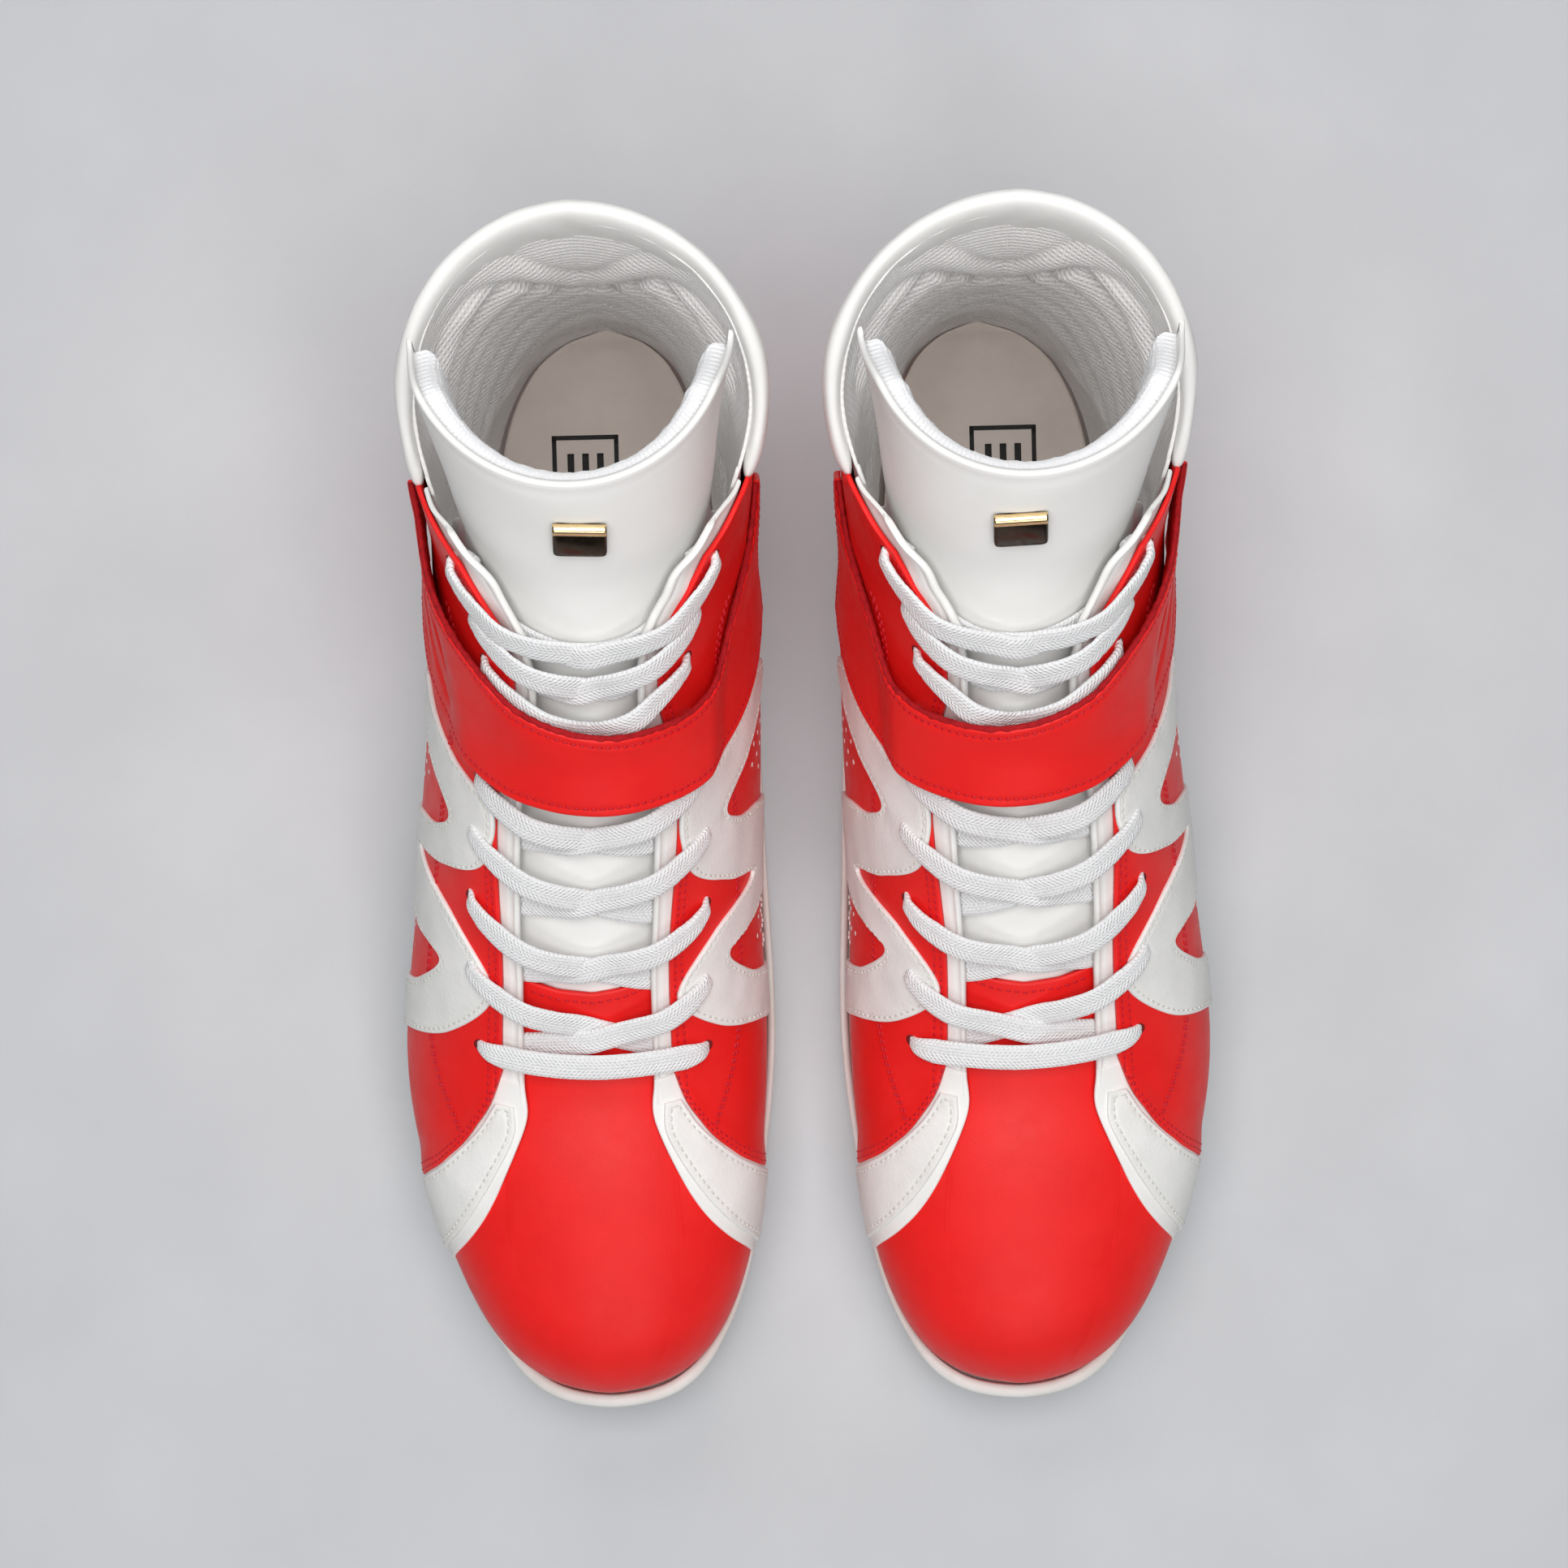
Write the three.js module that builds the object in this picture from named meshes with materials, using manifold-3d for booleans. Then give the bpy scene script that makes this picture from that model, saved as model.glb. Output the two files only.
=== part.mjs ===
// A pair of high-top boxing boots with an ankle strap, in millimetres, +Z up, toes towards -Y.
// The right boot stands at -X and the left boot is its mirror image at +X.
import * as THREE from 'three';
import { mergeVertices } from 'three/addons/utils/BufferGeometryUtils.js';
import Module from 'manifold-3d';

const wasm = await Module();
wasm.setup();

// ---------------------------------------------------------------- driving dimensions
const HALF_SPACING = 54;      // middle of each boot from the middle of the pair
const SOLE_EDGE = 4.6;        // sole side wall, out from the edge of the last
const CUP_INNER = 3.3;        // inside of the rubber cup wall, out from the edge of the last
const OUTSOLE_T = 4;          // outsole thickness
const TOE_SPRING = 7;         // rise of the outsole under the toe tip
const CUP_RISE = 3;           // cup wall above the edge of the last
const BUMPER_T = 1.6;         // extra rubber on the toe
const GAP = 0.3;              // smallest gap between neighbouring pieces
const LACE_W = 6;             // flat lace width
const LACE_T = 1.3;           // flat lace thickness
const LACE_NECK_W = 3;        // lace width where it is gathered in an eyelet
const EYELET_R = 2.6;         // punched eyelet radius

// Heights of the layers, measured along the outward normal of the last surface.
const UPPER = [0.1, 1.3];     // vamp and quarters
const FACING = [-2, -0.9];    // eyelet facings and the stiffeners
const LINING = [-4.9, -2.8];  // linings
const STIFF = [-2.3, -1.2];   // heel counter and toe puff
const OVERLAY = [2.4, 3.1];   // wings, side bands, heel panel
const FLOOR = -4.7;           // top of the tongue and of the vamp tab
const TONGUE_T = 4;           // tongue thickness
const STRAP = [6, 7.5];       // ankle strap over the lace
const STRAP_SIDE = { lateral: 3.7, medial: 1.9 };   // underside of the strap beside the lace
const LACE_OVER = 4.2;        // lace middle on top of the quarters
const LACE_UNDER = -3.4;      // lace middle under the facings
const LACE_CROSS = -1.5;      // lace middle where it crosses on top of the other strand

// Rows of the last surface, toe to collar top:
// a, top y, top z, edge y, edge z, middle x, lateral and medial half width, end angle, egg factor
const ROWS = [
  [0.00, -144, 28, -144, 21, -1.0, 0.5, 0.5, 100, 0.10],
  [0.05, -140, 39, -141, 19, -1.1, 15.5, 16.0, 102, 0.15],
  [0.11, -129, 48, -130, 17, -1.4, 27.7, 27.8, 104, 0.18],
  [0.19, -109, 54, -110, 15, -1.8, 37.8, 36.7, 106, 0.16],
  [0.28, -82, 59, -82, 14, -2.0, 46.4, 41.6, 108, 0.10],
  [0.38, -53, 67, -49, 14, -1.2, 51.5, 43.2, 110, 0.00],
  [0.48, -24, 84, -2, 16, 0.0, 48.0, 41.0, 114, -0.04],
  [0.57, 3, 100, 46, 19, 1.5, 44.5, 40.5, 122, -0.02],
  [0.65, 22, 112, 92, 21, 3.0, 42.5, 38.6, 128, 0.00],
  [0.70, 31, 119.5, 116, 22, 3.5, 41.2, 37.6, 133, 0.03],
  [0.735, 37.5, 125, 131.5, 23, 3.8, 40.5, 37.4, 145, 0.05],
  [0.757, 41.5, 128.3, 139.5, 24.5, 4.1, 40.1, 37.3, 160, 0.06],
  [0.775, 44.5, 131, 144, 29, 4.2, 39.8, 37.3, 180, 0.06],
  [0.81, 50, 136.5, 145.3, 48, 4.3, 39.5, 37.6, 180, 0.05],
  [0.87, 60, 147, 144.8, 82, 4.4, 39.6, 38.8, 180, 0.05],
  [0.93, 69, 158, 143, 117, 4.4, 39.7, 41.0, 180, 0.05],
  [1.00, 80, 172, 146.2, 158, 4.2, 38.7, 41.2, 180, 0.06],
];

// ---------------------------------------------------------------- small helpers
const V = (x, y, z) => new THREE.Vector3(x, y, z);
const lerp = (a, b, t) => a + (b - a) * t;
const range = (n) => Array.from({ length: n + 1 }, (_, i) => i / n);
const smooth = (t) => {
  const c = Math.min(1, Math.max(0, t));
  return c * c * (3 - 2 * c);
};

// Straight interpolation in a table of [x, y] points.
function table(points, x) {
  if (x <= points[0][0]) return points[0][1];
  for (let i = 1; i < points.length; i += 1) {
    const [x1, y1] = points[i];
    const [x0, y0] = points[i - 1];
    if (x <= x1) return lerp(y0, y1, (x - x0) / (x1 - x0));
  }
  return points[points.length - 1][1];
}

// Cubic interpolation of the rows, with finite-difference slopes.
const SLOPES = ROWS.map((row, i) => {
  const p = ROWS[Math.max(0, i - 1)];
  const q = ROWS[Math.min(ROWS.length - 1, i + 1)];
  const s = row.map((_, k) => (q[k] - p[k]) / (q[0] - p[0]));
  if (i === 0) {
    s[1] = 0;
    s[3] = 0;
  }
  return s;
});
function rowAt(a) {
  let i = 0;
  while (i < ROWS.length - 2 && a > ROWS[i + 1][0]) i += 1;
  const h = ROWS[i + 1][0] - ROWS[i][0];
  const t = Math.min(1, Math.max(0, (a - ROWS[i][0]) / h));
  const h00 = 2 * t ** 3 - 3 * t ** 2 + 1;
  const h10 = t ** 3 - 2 * t ** 2 + t;
  const h01 = -2 * t ** 3 + 3 * t ** 2;
  const h11 = t ** 3 - t ** 2;
  return ROWS[i].map((v, k) => h00 * v + h10 * h * SLOPES[i][k]
    + h01 * ROWS[i + 1][k] + h11 * h * SLOPES[i + 1][k]);
}

// The last surface of the right boot: b runs from -1 (lateral edge) over 0 (top) to 1 (medial).
// In the plane through a top point and an edge point the section is an egg-shaped arc.
function last(a, b) {
  const [, ty, tz, ey, ez, xc, wl, wm, deg, egg] = rowAt(a);
  const end = THREE.MathUtils.degToRad(Math.min(180, deg));
  const t = Math.abs(b) * end;
  const f = (1 - Math.cos(t)) / (1 - Math.cos(end));
  const w = b < 0 ? wl : wm;
  const x = xc + Math.sign(b) * w * Math.sin(t) * (1 + egg * Math.cos(t));
  return V(x, lerp(ty, ey, f), lerp(tz, ez, f));
}
function normalOf(surface, u, v, u0, u1, v0, v1) {
  const e = 1e-3;
  const du = surface(Math.min(u1, u + e), v).sub(surface(Math.max(u0, u - e), v));
  const dv = surface(u, Math.min(v1, v + e)).sub(surface(u, Math.max(v0, v - e)));
  return du.cross(dv).normalize();
}
const lastNormal = (a, b) => normalOf(last, a, b, 0, 1, -1, 1).multiplyScalar(-1);
const at = (a, b, h) => last(a, b).addScaledVector(lastNormal(a, b), h);

// ---------------------------------------------------------------- closed bodies
function body(points, faces) {
  const g = new THREE.BufferGeometry();
  const flat = [];
  for (const p of points) flat.push(p.x, p.y, p.z);
  let volume = 0;
  for (const [i, j, k] of faces) volume += points[i].dot(points[j].clone().cross(points[k]));
  const index = [];
  for (const [i, j, k] of faces) {
    if (volume > 0) index.push(i, j, k);
    else index.push(i, k, j);
  }
  g.setAttribute('position', new THREE.Float32BufferAttribute(flat, 3));
  g.setIndex(index);
  return g;
}

// A plate between two grids of points, closed by four side walls.
function plate(lower, upper) {
  const n = lower.length;
  const m = lower[0].length;
  const points = [...lower.flat(), ...upper.flat()];
  const faces = [];
  const id = (i, j, top) => (top ? n * m : 0) + i * m + j;
  const quad = (a, b, c, d) => faces.push([a, b, c], [a, c, d]);
  for (let i = 0; i < n - 1; i += 1) {
    for (let j = 0; j < m - 1; j += 1) {
      quad(id(i, j, 1), id(i + 1, j, 1), id(i + 1, j + 1, 1), id(i, j + 1, 1));
      quad(id(i, j, 0), id(i, j + 1, 0), id(i + 1, j + 1, 0), id(i + 1, j, 0));
    }
    quad(id(i, 0, 0), id(i + 1, 0, 0), id(i + 1, 0, 1), id(i, 0, 1));
    quad(id(i + 1, m - 1, 0), id(i, m - 1, 0), id(i, m - 1, 1), id(i + 1, m - 1, 1));
  }
  for (let j = 0; j < m - 1; j += 1) {
    quad(id(0, j + 1, 0), id(0, j, 0), id(0, j, 1), id(0, j + 1, 1));
    quad(id(n - 1, j, 0), id(n - 1, j + 1, 0), id(n - 1, j + 1, 1), id(n - 1, j, 1));
  }
  return body(points, faces);
}

// A plate on the last: ab(u, v) gives [a, b]; low and high are numbers or functions of a, b, u, v.
function panel(us, vs, ab, low, high) {
  const level = (f, a, b, u, v) => (typeof f === 'function' ? f(a, b, u, v) : f);
  const grid = (f) => us.map((u) => vs.map((v) => {
    const [a, b] = ab(u, v);
    return at(a, b, level(f, a, b, u, v));
  }));
  return plate(grid(low), grid(high));
}

// A strip between two lists of [a, b] corners, each run cut into `cuts` parts.
function strip(first, second, cuts, across, low, high) {
  const pick = (list, s) => {
    const i = Math.min(list.length - 2, Math.floor(s));
    return [0, 1].map((k) => lerp(list[i][k], list[i + 1][k], s - i));
  };
  const steps = range((first.length - 1) * cuts).map((t) => t * (first.length - 1));
  const ab = (s, v) => {
    const p = pick(first, s);
    const q = pick(second, s);
    return [lerp(p[0], q[0], v), lerp(p[1], q[1], v)];
  };
  return panel(steps, range(across), ab, low, high);
}

// A body swept through sections that all have the same number of points.
function sweep(sections, closed) {
  const n = sections.length;
  const m = sections[0].length;
  const faces = [];
  const last_ = closed ? n : n - 1;
  for (let i = 0; i < last_; i += 1) {
    for (let j = 0; j < m; j += 1) {
      const a = i * m + j;
      const b = i * m + ((j + 1) % m);
      const c = ((i + 1) % n) * m + ((j + 1) % m);
      const d = ((i + 1) % n) * m + j;
      faces.push([a, b, c], [a, c, d]);
    }
  }
  if (!closed) {
    for (let j = 1; j < m - 1; j += 1) {
      faces.push([0, j + 1, j]);
      faces.push([(n - 1) * m, (n - 1) * m + j, (n - 1) * m + j + 1]);
    }
  }
  return body(sections.flat(), faces);
}

// ---------------------------------------------------------------- booleans
function toManifold(geometry) {
  const g = geometry.clone();
  g.deleteAttribute('normal');
  g.deleteAttribute('uv');
  const merged = mergeVertices(g, 1e-5);
  const triVerts = Uint32Array.from(merged.index.array);
  const vertProperties = Float32Array.from(merged.attributes.position.array);
  return new wasm.Manifold(new wasm.Mesh({ numProp: 3, vertProperties, triVerts }));
}
function fromManifold(solid) {
  const mesh = solid.getMesh();
  const g = new THREE.BufferGeometry();
  g.setAttribute('position', new THREE.Float32BufferAttribute(mesh.vertProperties, 3));
  g.setIndex(Array.from(mesh.triVerts));
  return g;
}
function cut(geometry, tools) {
  let solid = toManifold(geometry);
  for (const tool of tools) solid = solid.subtract(toManifold(tool));
  return fromManifold(solid);
}
const join = (a, b) => fromManifold(toManifold(a).add(toManifold(b)));

// ---------------------------------------------------------------- sole stack
const SOLE_A = [0, 0.02, 0.045, 0.075, 0.11, 0.15, 0.19, 0.235, 0.28, 0.33, 0.38, 0.43, 0.48,
  0.525, 0.57, 0.61, 0.65, 0.68, 0.705, 0.728, 0.745, 0.758, 0.767, 0.773];

// Points of the edge of the last, moved outwards in plan by `off`.
function edge(a, side, off) {
  const p = last(a, side);
  const e = 2e-3;
  const q = last(Math.min(0.774, a + e), side).sub(last(Math.max(0, a - e), side));
  const out = V(side * q.y, -side * q.x, 0).normalize();
  return V(p.x + out.x * off, p.y + out.y * off, p.z);
}
const edgeY = (a) => rowAt(a)[3];
const edgeZ = (a) => Math.min(rowAt(a)[4], 25);
const treadZ = (a) => TOE_SPRING * Math.max(0, (-80 - edgeY(a)) / 64) ** 1.6;

// A flat layer that follows the outline of the sole.
function soleLayer(off, low, high) {
  const lower = SOLE_A.map((a) => [-1, 1].map((s) => edge(a, s, off).setZ(low(a))));
  const upper = SOLE_A.map((a) => [-1, 1].map((s) => edge(a, s, off).setZ(high(a))));
  return plate(lower, upper);
}
// A wall that follows the outline, between two offsets.
function soleWall(inner, outer, low, high) {
  const ring = [...SOLE_A.map((a) => [a, -1]), ...SOLE_A.map((a) => [a, 1]).reverse()];
  const sections = ring.map(([a, s]) => [
    edge(a, s, inner).setZ(low(a)),
    edge(a, s, outer).setZ(low(a)),
    edge(a, s, outer).setZ(high(a)),
    edge(a, s, inner).setZ(high(a)),
  ]);
  return sweep(sections, true);
}
const outsole = soleLayer(SOLE_EDGE, (a) => treadZ(a), (a) => treadZ(a) + OUTSOLE_T);
const cupFloor = (a) => edgeZ(a) - 1.2;
const midsole = join(
  soleLayer(SOLE_EDGE, (a) => treadZ(a) + OUTSOLE_T + GAP, cupFloor),
  soleWall(CUP_INNER, SOLE_EDGE, (a) => cupFloor(a) - 2, (a) => edgeZ(a) + CUP_RISE),
);
const BUMPER_A = SOLE_A.filter((a) => a < 0.16);
const bumperRing = [...BUMPER_A.map((a) => [a, -1]).reverse(), ...BUMPER_A.map((a) => [a, 1])];
const toeBumper = sweep(bumperRing.map(([a, s]) => {
  const fade = 1 - smooth((a - 0.05) / 0.1);
  const inner = SOLE_EDGE + GAP;
  const outer = inner + 0.4 + (BUMPER_T - 0.4) * fade;
  const low = treadZ(a) + OUTSOLE_T + 1;
  const high = edgeZ(a) + CUP_RISE - 1 + 3 * fade;
  return [
    edge(a, s, inner).setZ(low),
    edge(a, s, outer).setZ(low),
    edge(a, s, outer).setZ(high - 1),
    edge(a, s, inner).setZ(high),
  ];
}), false);
const insoleBoard = soleLayer(-5.6, (a) => edgeZ(a) - 0.9, (a) => edgeZ(a) + 0.6);
const sockliner = soleLayer(-7, (a) => edgeZ(a) + 0.9, (a) => edgeZ(a) + 4.4);

// ---------------------------------------------------------------- panel outlines
// Where the vamp ends, for each |b|; beyond 0.165 this is the seam under the toe wings.
const VAMP_END = [[0, 0.437], [0.14, 0.437], [0.163, 0.412], [0.18, 0.375], [0.2, 0.348], [0.28, 0.315],
  [0.42, 0.26], [0.6, 0.24], [0.985, 0.235]];
// Inner edge of the white facings and of the red quarters, |b| for each a.
const FACING_EDGE = [[0.36, 0.19], [0.44, 0.195], [0.495, 0.205], [0.553, 0.2], [0.595, 0.192],
  [0.655, 0.166], [0.728, 0.126], [0.8, 0.118], [0.838, 0.185], [0.868, 0.235], [0.885, 0.33]];
const QUARTER_EDGE = [[0.33, 0.245], [0.44, 0.25], [0.55, 0.262], [0.6, 0.255], [0.655, 0.22],
  [0.728, 0.17], [0.8, 0.15], [0.838, 0.205], [0.868, 0.25]];
// Collar: top and bottom edge, a for each |b| from the front end to the back seam.
const COLLAR_TOP = [[0.4, 0.885], [0.47, 0.925], [0.55, 0.955], [0.65, 0.975], [0.8, 0.99],
  [1, 0.995]];
const COLLAR_LOW = [[0.4, 0.83], [0.47, 0.865], [0.55, 0.9], [0.65, 0.925], [0.8, 0.945],
  [1, 0.953]];
const seamA = 0.004;          // gap left at a seam, in the a direction
const EDGE_B = 0.98;          // lower end of the upper, inside the cup
const LOW_B = 0.905;          // lower end of the overlays, above the cup
const BACK_B = 0.993;         // end of a side piece at the back seam
const endB = (a) => (a > 0.765 ? BACK_B : EDGE_B);

// ---------------------------------------------------------------- vamp, toe puff, lining
const vampCols = [-0.985, -0.8, -0.6, -0.42, -0.28, -0.2, -0.18, -0.163, -0.14, 0,
  0.14, 0.163, 0.18, 0.2, 0.28, 0.42, 0.6, 0.8, 0.985];
const vampRows = [0.012, 0.06, 0.12, 0.2, 0.3, 0.42, 0.54, 0.66, 0.77, 0.87, 0.94, 1];
const vampSink = (a, b) => {
  const tab = 1 - smooth((Math.abs(b) - 0.19) / 0.05);
  return (UPPER[1] - FLOOR + 0.6) * smooth((a - 0.285) / 0.065) * tab;
};
const vampAB = (u, b) => [u * table(VAMP_END, Math.abs(b)), b];
const vamp = panel(vampRows, vampCols, vampAB,
  (a, b) => UPPER[0] - vampSink(a, b), (a, b) => UPPER[1] - vampSink(a, b));
const toeCols = [-0.94, -0.8, -0.6, -0.42, -0.28, -0.163, 0, 0.163, 0.28, 0.42, 0.6, 0.8, 0.94];
const toePuff = panel([0.016, 0.035, 0.06, 0.09, 0.125, 0.16, 0.2], toeCols, (u, v) => [u, v], ...STIFF);
const vampLining = panel([0.02, 0.05, 0.09, 0.14, 0.2, 0.24, 0.28],
  toeCols.map((b) => b * (Math.abs(b) > 0.9 ? 1.045 : 1)), (u, v) => [u, v], ...LINING);

// ---------------------------------------------------------------- quarters, facings, linings
const quarterFront = (b) => table(VAMP_END, b) + 2 * seamA;
const quarterTop = (b) => table([[0.24, 0.86], [0.33, 0.88], [0.385, 0.886], [0.4, 0.824],
  [0.47, 0.859], [0.55, 0.894], [0.65, 0.919], [0.8, 0.94], [1, 0.948]], b);
const quarterCols = [0.245, 0.31, 0.385, 0.4, 0.47, 0.55, 0.63, 0.71, 0.79, 0.86, 0.925, 0.985];
function quarterAB(side) {
  return (u, b0) => {
    const a = lerp(quarterFront(b0), quarterTop(b0), u);
    const near = smooth((0.385 - b0) / 0.14);
    let b = b0 + near * (table(QUARTER_EDGE, a) - 0.245);
    if (b0 > 0.95) b = endB(a);
    return [a, side * b];
  };
}
const LAT = -1;
const MED = 1;
const quarterRows = [0, 0.1, 0.2, 0.3, 0.4, 0.49, 0.57, 0.64, 0.695, 0.74, 0.78, 0.83, 0.89,
  0.945, 1];
const facingRows = [0.362, 0.4, 0.44, 0.48, 0.52, 0.56, 0.6, 0.645, 0.69, 0.73, 0.77, 0.8, 0.838,
  0.868, 0.882];
const FACING_OUTER = [[0.36, 0.44], [0.5, 0.48], [0.6, 0.44], [0.67, 0.36], [0.72, 0.3],
  [0.75, 0.272], [0.8, 0.27], [0.82, 0.29], [0.885, 0.36]];
const facingAB = (side) => (a, v) => [a,
  side * lerp(table(FACING_EDGE, a), table(FACING_OUTER, a), v)];

// Eyelets, bottom to top, [a, |b|] on the lateral and the medial side.
const EYELETS = {
  [LAT]: [[0.397, 0.315], [0.464, 0.358], [0.515, 0.353], [0.568, 0.338], [0.613, 0.31],
    [0.673, 0.285], [0.749, 0.225], [0.808, 0.215], [0.852, 0.262]],
  [MED]: [[0.39, 0.37], [0.447, 0.385], [0.503, 0.38], [0.56, 0.355], [0.608, 0.318],
    [0.67, 0.285], [0.747, 0.225], [0.808, 0.215], [0.852, 0.262]],
};
// A short prism along the normal, used to punch an eyelet.
function punch(a, b) {
  const n = lastNormal(a, b);
  const u = last(a + 1e-3, b).sub(last(a - 1e-3, b)).normalize();
  const w = n.clone().cross(u).normalize();
  const sections = [-4, 4].map((h) => range(6).map((t) => {
    const c = Math.PI * 2 * (t * 6 / 7);
    return last(a, b).addScaledVector(n, h)
      .addScaledVector(u, Math.cos(c) * EYELET_R)
      .addScaledVector(w, Math.sin(c) * EYELET_R);
  }));
  return sweep(sections, false);
}
const punches = (side) => EYELETS[side].map(([a, b]) => punch(a, side * b));
const quarter = (side) => cut(panel(quarterRows, quarterCols, quarterAB(side), ...UPPER),
  punches(side));
const facing = (side) => cut(panel(facingRows, range(3), facingAB(side), ...FACING),
  punches(side));
const liningCols = [0.49, 0.57, 0.66, 0.75, 0.83, 0.91, 0.985];
const liningFront = (b) => table([[0.49, 0.288], [1, 0.288]], b);
const lining = (side) => panel([0, 0.15, 0.3, 0.44, 0.55, 0.63, 0.685, 0.73, 0.77, 0.84, 0.92, 1],
  liningCols, (u, b0) => {
    const a = lerp(liningFront(b0), quarterTop(b0), u);
    return [a, side * (b0 > 0.95 ? endB(a) : b0)];
  }, ...LINING);

// ---------------------------------------------------------------- pieces that wrap the back
// c runs from -1 on the lateral front end, through 0 at the back seam, to 1 on the medial side.
const wrapB = (c, front) => (c < 0 ? -1 : 1) * lerp(1, front, Math.abs(c));
const wrapCols = [-1, -0.88, -0.75, -0.58, -0.4, -0.2, 0, 0.2, 0.4, 0.58, 0.75, 0.88, 1];
const collar = panel(wrapCols, [0, 0.35, 0.75, 1], (c, v) => {
  const b = wrapB(c, 0.4);
  return [lerp(table(COLLAR_LOW, Math.abs(b)), table(COLLAR_TOP, Math.abs(b)), v), b];
}, (a, b, c, v) => table([[0, -4.6], [0.35, -6], [0.75, -6], [1, -4]], v),
(a, b, c, v) => table([[0, 1.3], [0.35, 2.4], [0.75, 2.2], [1, 0]], v));
const heelCounter = panel([-1, -0.83, -0.66, -0.5, -0.33, -0.16, 0, 0.16, 0.33, 0.5, 0.66, 0.83, 1],
  [0.795, 0.81, 0.835, 0.86], (c, a) => [a, wrapB(c, 0.5)], ...STIFF);
const heelPanel = panel([-1, -0.66, -0.33, 0, 0.33, 0.66, 1], [0.8, 0.83, 0.86, 0.89, 0.92, 0.942],
  (c, a) => [a, wrapB(c, lerp(0.8, 0.9, (a - 0.8) / 0.142))], ...OVERLAY);

// ---------------------------------------------------------------- overlays
const wing = (side) => strip(
  [[0.358, 0.25], [0.32, 0.335], [0.29, 0.47], [0.275, 0.62], [0.268, 0.78], [0.265, LOW_B]]
    .map(([a, b]) => [a, side * b]),
  [[0.355, 0.175], [0.315, 0.2], [0.26, 0.32], [0.225, 0.47], [0.208, 0.7], [0.2, LOW_B]]
    .map(([a, b]) => [a, side * b]),
  2, 3, ...OVERLAY,
);
// Zigzag side band: upper arm, point at the throat, valley at the side, second point, lower arm.
const BAND_UP = [[0.63, 0.6], [0.61, 0.4], [0.59, 0.262], [0.535, 0.3], [0.512, 0.46],
  [0.5, 0.62], [0.48, 0.42], [0.436, 0.268], [0.405, 0.42], [0.398, 0.68], [0.395, LOW_B]];
const BAND_IN = [[0.612, 0.73], [0.596, 0.6], [0.568, 0.43], [0.55, 0.5], [0.54, 0.66],
  [0.515, 0.9], [0.478, 0.7], [0.46, 0.48], [0.437, 0.6], [0.43, 0.78], [0.425, LOW_B]];
const band = (side) => cut(strip(BAND_UP.map(([a, b]) => [a, side * b]),
  BAND_IN.map(([a, b]) => [a, side * b]), 2, 3, ...OVERLAY), punches(side));

// ---------------------------------------------------------------- tongue
const TONGUE_EDGE = [[0.45, 0.42], [0.65, 0.42], [0.75, 0.34], [0.82, 0.22], [0.85, 0.15]];
const tongueBody = panel([0.449, 0.5, 0.55, 0.6, 0.65, 0.7, 0.75, 0.79, 0.82, 0.85],
  [-1, -0.66, -0.33, 0, 0.33, 0.66, 1],
  (a, v) => [a, v * table(TONGUE_EDGE, a)], FLOOR - TONGUE_T, FLOOR);

// The free top of the tongue is a half pipe that widens upwards into two ears.
const TONGUE_TOP_MID = [[0, 62, 141.6, 16, 5, 1], [0.25, 67.5, 149.3, 20.5, 11, 1.5],
  [0.5, 73, 157, 25, 18.5, 2], [0.75, 78.2, 164.5, 30, 26, 3], [1, 83, 171.5, 34.5, 33, 4]];
function tongueTopSurface(u, v) {
  const col = (k) => table(TONGUE_TOP_MID.map((r) => [r[0], r[k]]), u);
  const p = v * THREE.MathUtils.degToRad(88);
  return V(4.2 + col(3) * Math.sin(p) / Math.sin(THREE.MathUtils.degToRad(88)),
    col(1) + col(4) * (1 - Math.cos(p)), col(2) + col(5) * v * v);
}
function surfacePlate(surface, us, vs, low, high) {
  const grid = (h) => us.map((u) => vs.map((v) => surface(u, v)
    .addScaledVector(normalOf(surface, u, v, 0, 1, -1, 1), h)));
  return plate(grid(low), grid(high));
}
const tongueTopRows = [0, 0.25, 0.5, 0.75, 1];
const tongueTopCols = [-1, -0.8, -0.6, -0.4, -0.2, 0, 0.2, 0.4, 0.6, 0.8, 1];
const tongueTop = surfacePlate(tongueTopSurface, tongueTopRows, tongueTopCols, 0, 3.6);

// Metal plate on the tongue, standing on its front face.
function badge() {
  const mid = tongueTopSurface(0.5, 0.02);
  const up = tongueTopSurface(0.75, 0.02).sub(tongueTopSurface(0.25, 0.02)).normalize();
  const right = V(1, 0, 0);
  const out = right.clone().cross(up).normalize();
  const ring = (h, w, t) => [[-w, -h], [w, -h], [w, h], [-w, h]].map(([x, z]) => mid.clone()
    .addScaledVector(right, x).addScaledVector(up, z).addScaledVector(out, t));
  return sweep([ring(4.9, 6.1, 0.9), ring(4.9, 6.1, 2), ring(4.1, 5.3, 2.8)], false);
}

// ---------------------------------------------------------------- ankle strap
const STRAP_UP = [[0.81, 0.46], [0.765, 0.385], [0.71, 0.33], [0.695, 0.25], [0.7, 0.14],
  [0.706, 0.03], [0.72, -0.1], [0.735, -0.17], [0.775, -0.26], [0.825, -0.35], [0.87, -0.44]];
const STRAP_LOW = [[0.65, 0.68], [0.632, 0.58], [0.62, 0.455], [0.61, 0.3], [0.61, 0.16],
  [0.612, 0.03], [0.616, -0.1], [0.62, -0.19], [0.636, -0.36], [0.655, -0.52], [0.69, -0.67]];
const FLAP_FROM = 7;          // corner where the free flap begins
const shift = (p, q, t) => [lerp(p[0], q[0], t), lerp(p[1], q[1], t)];
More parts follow.
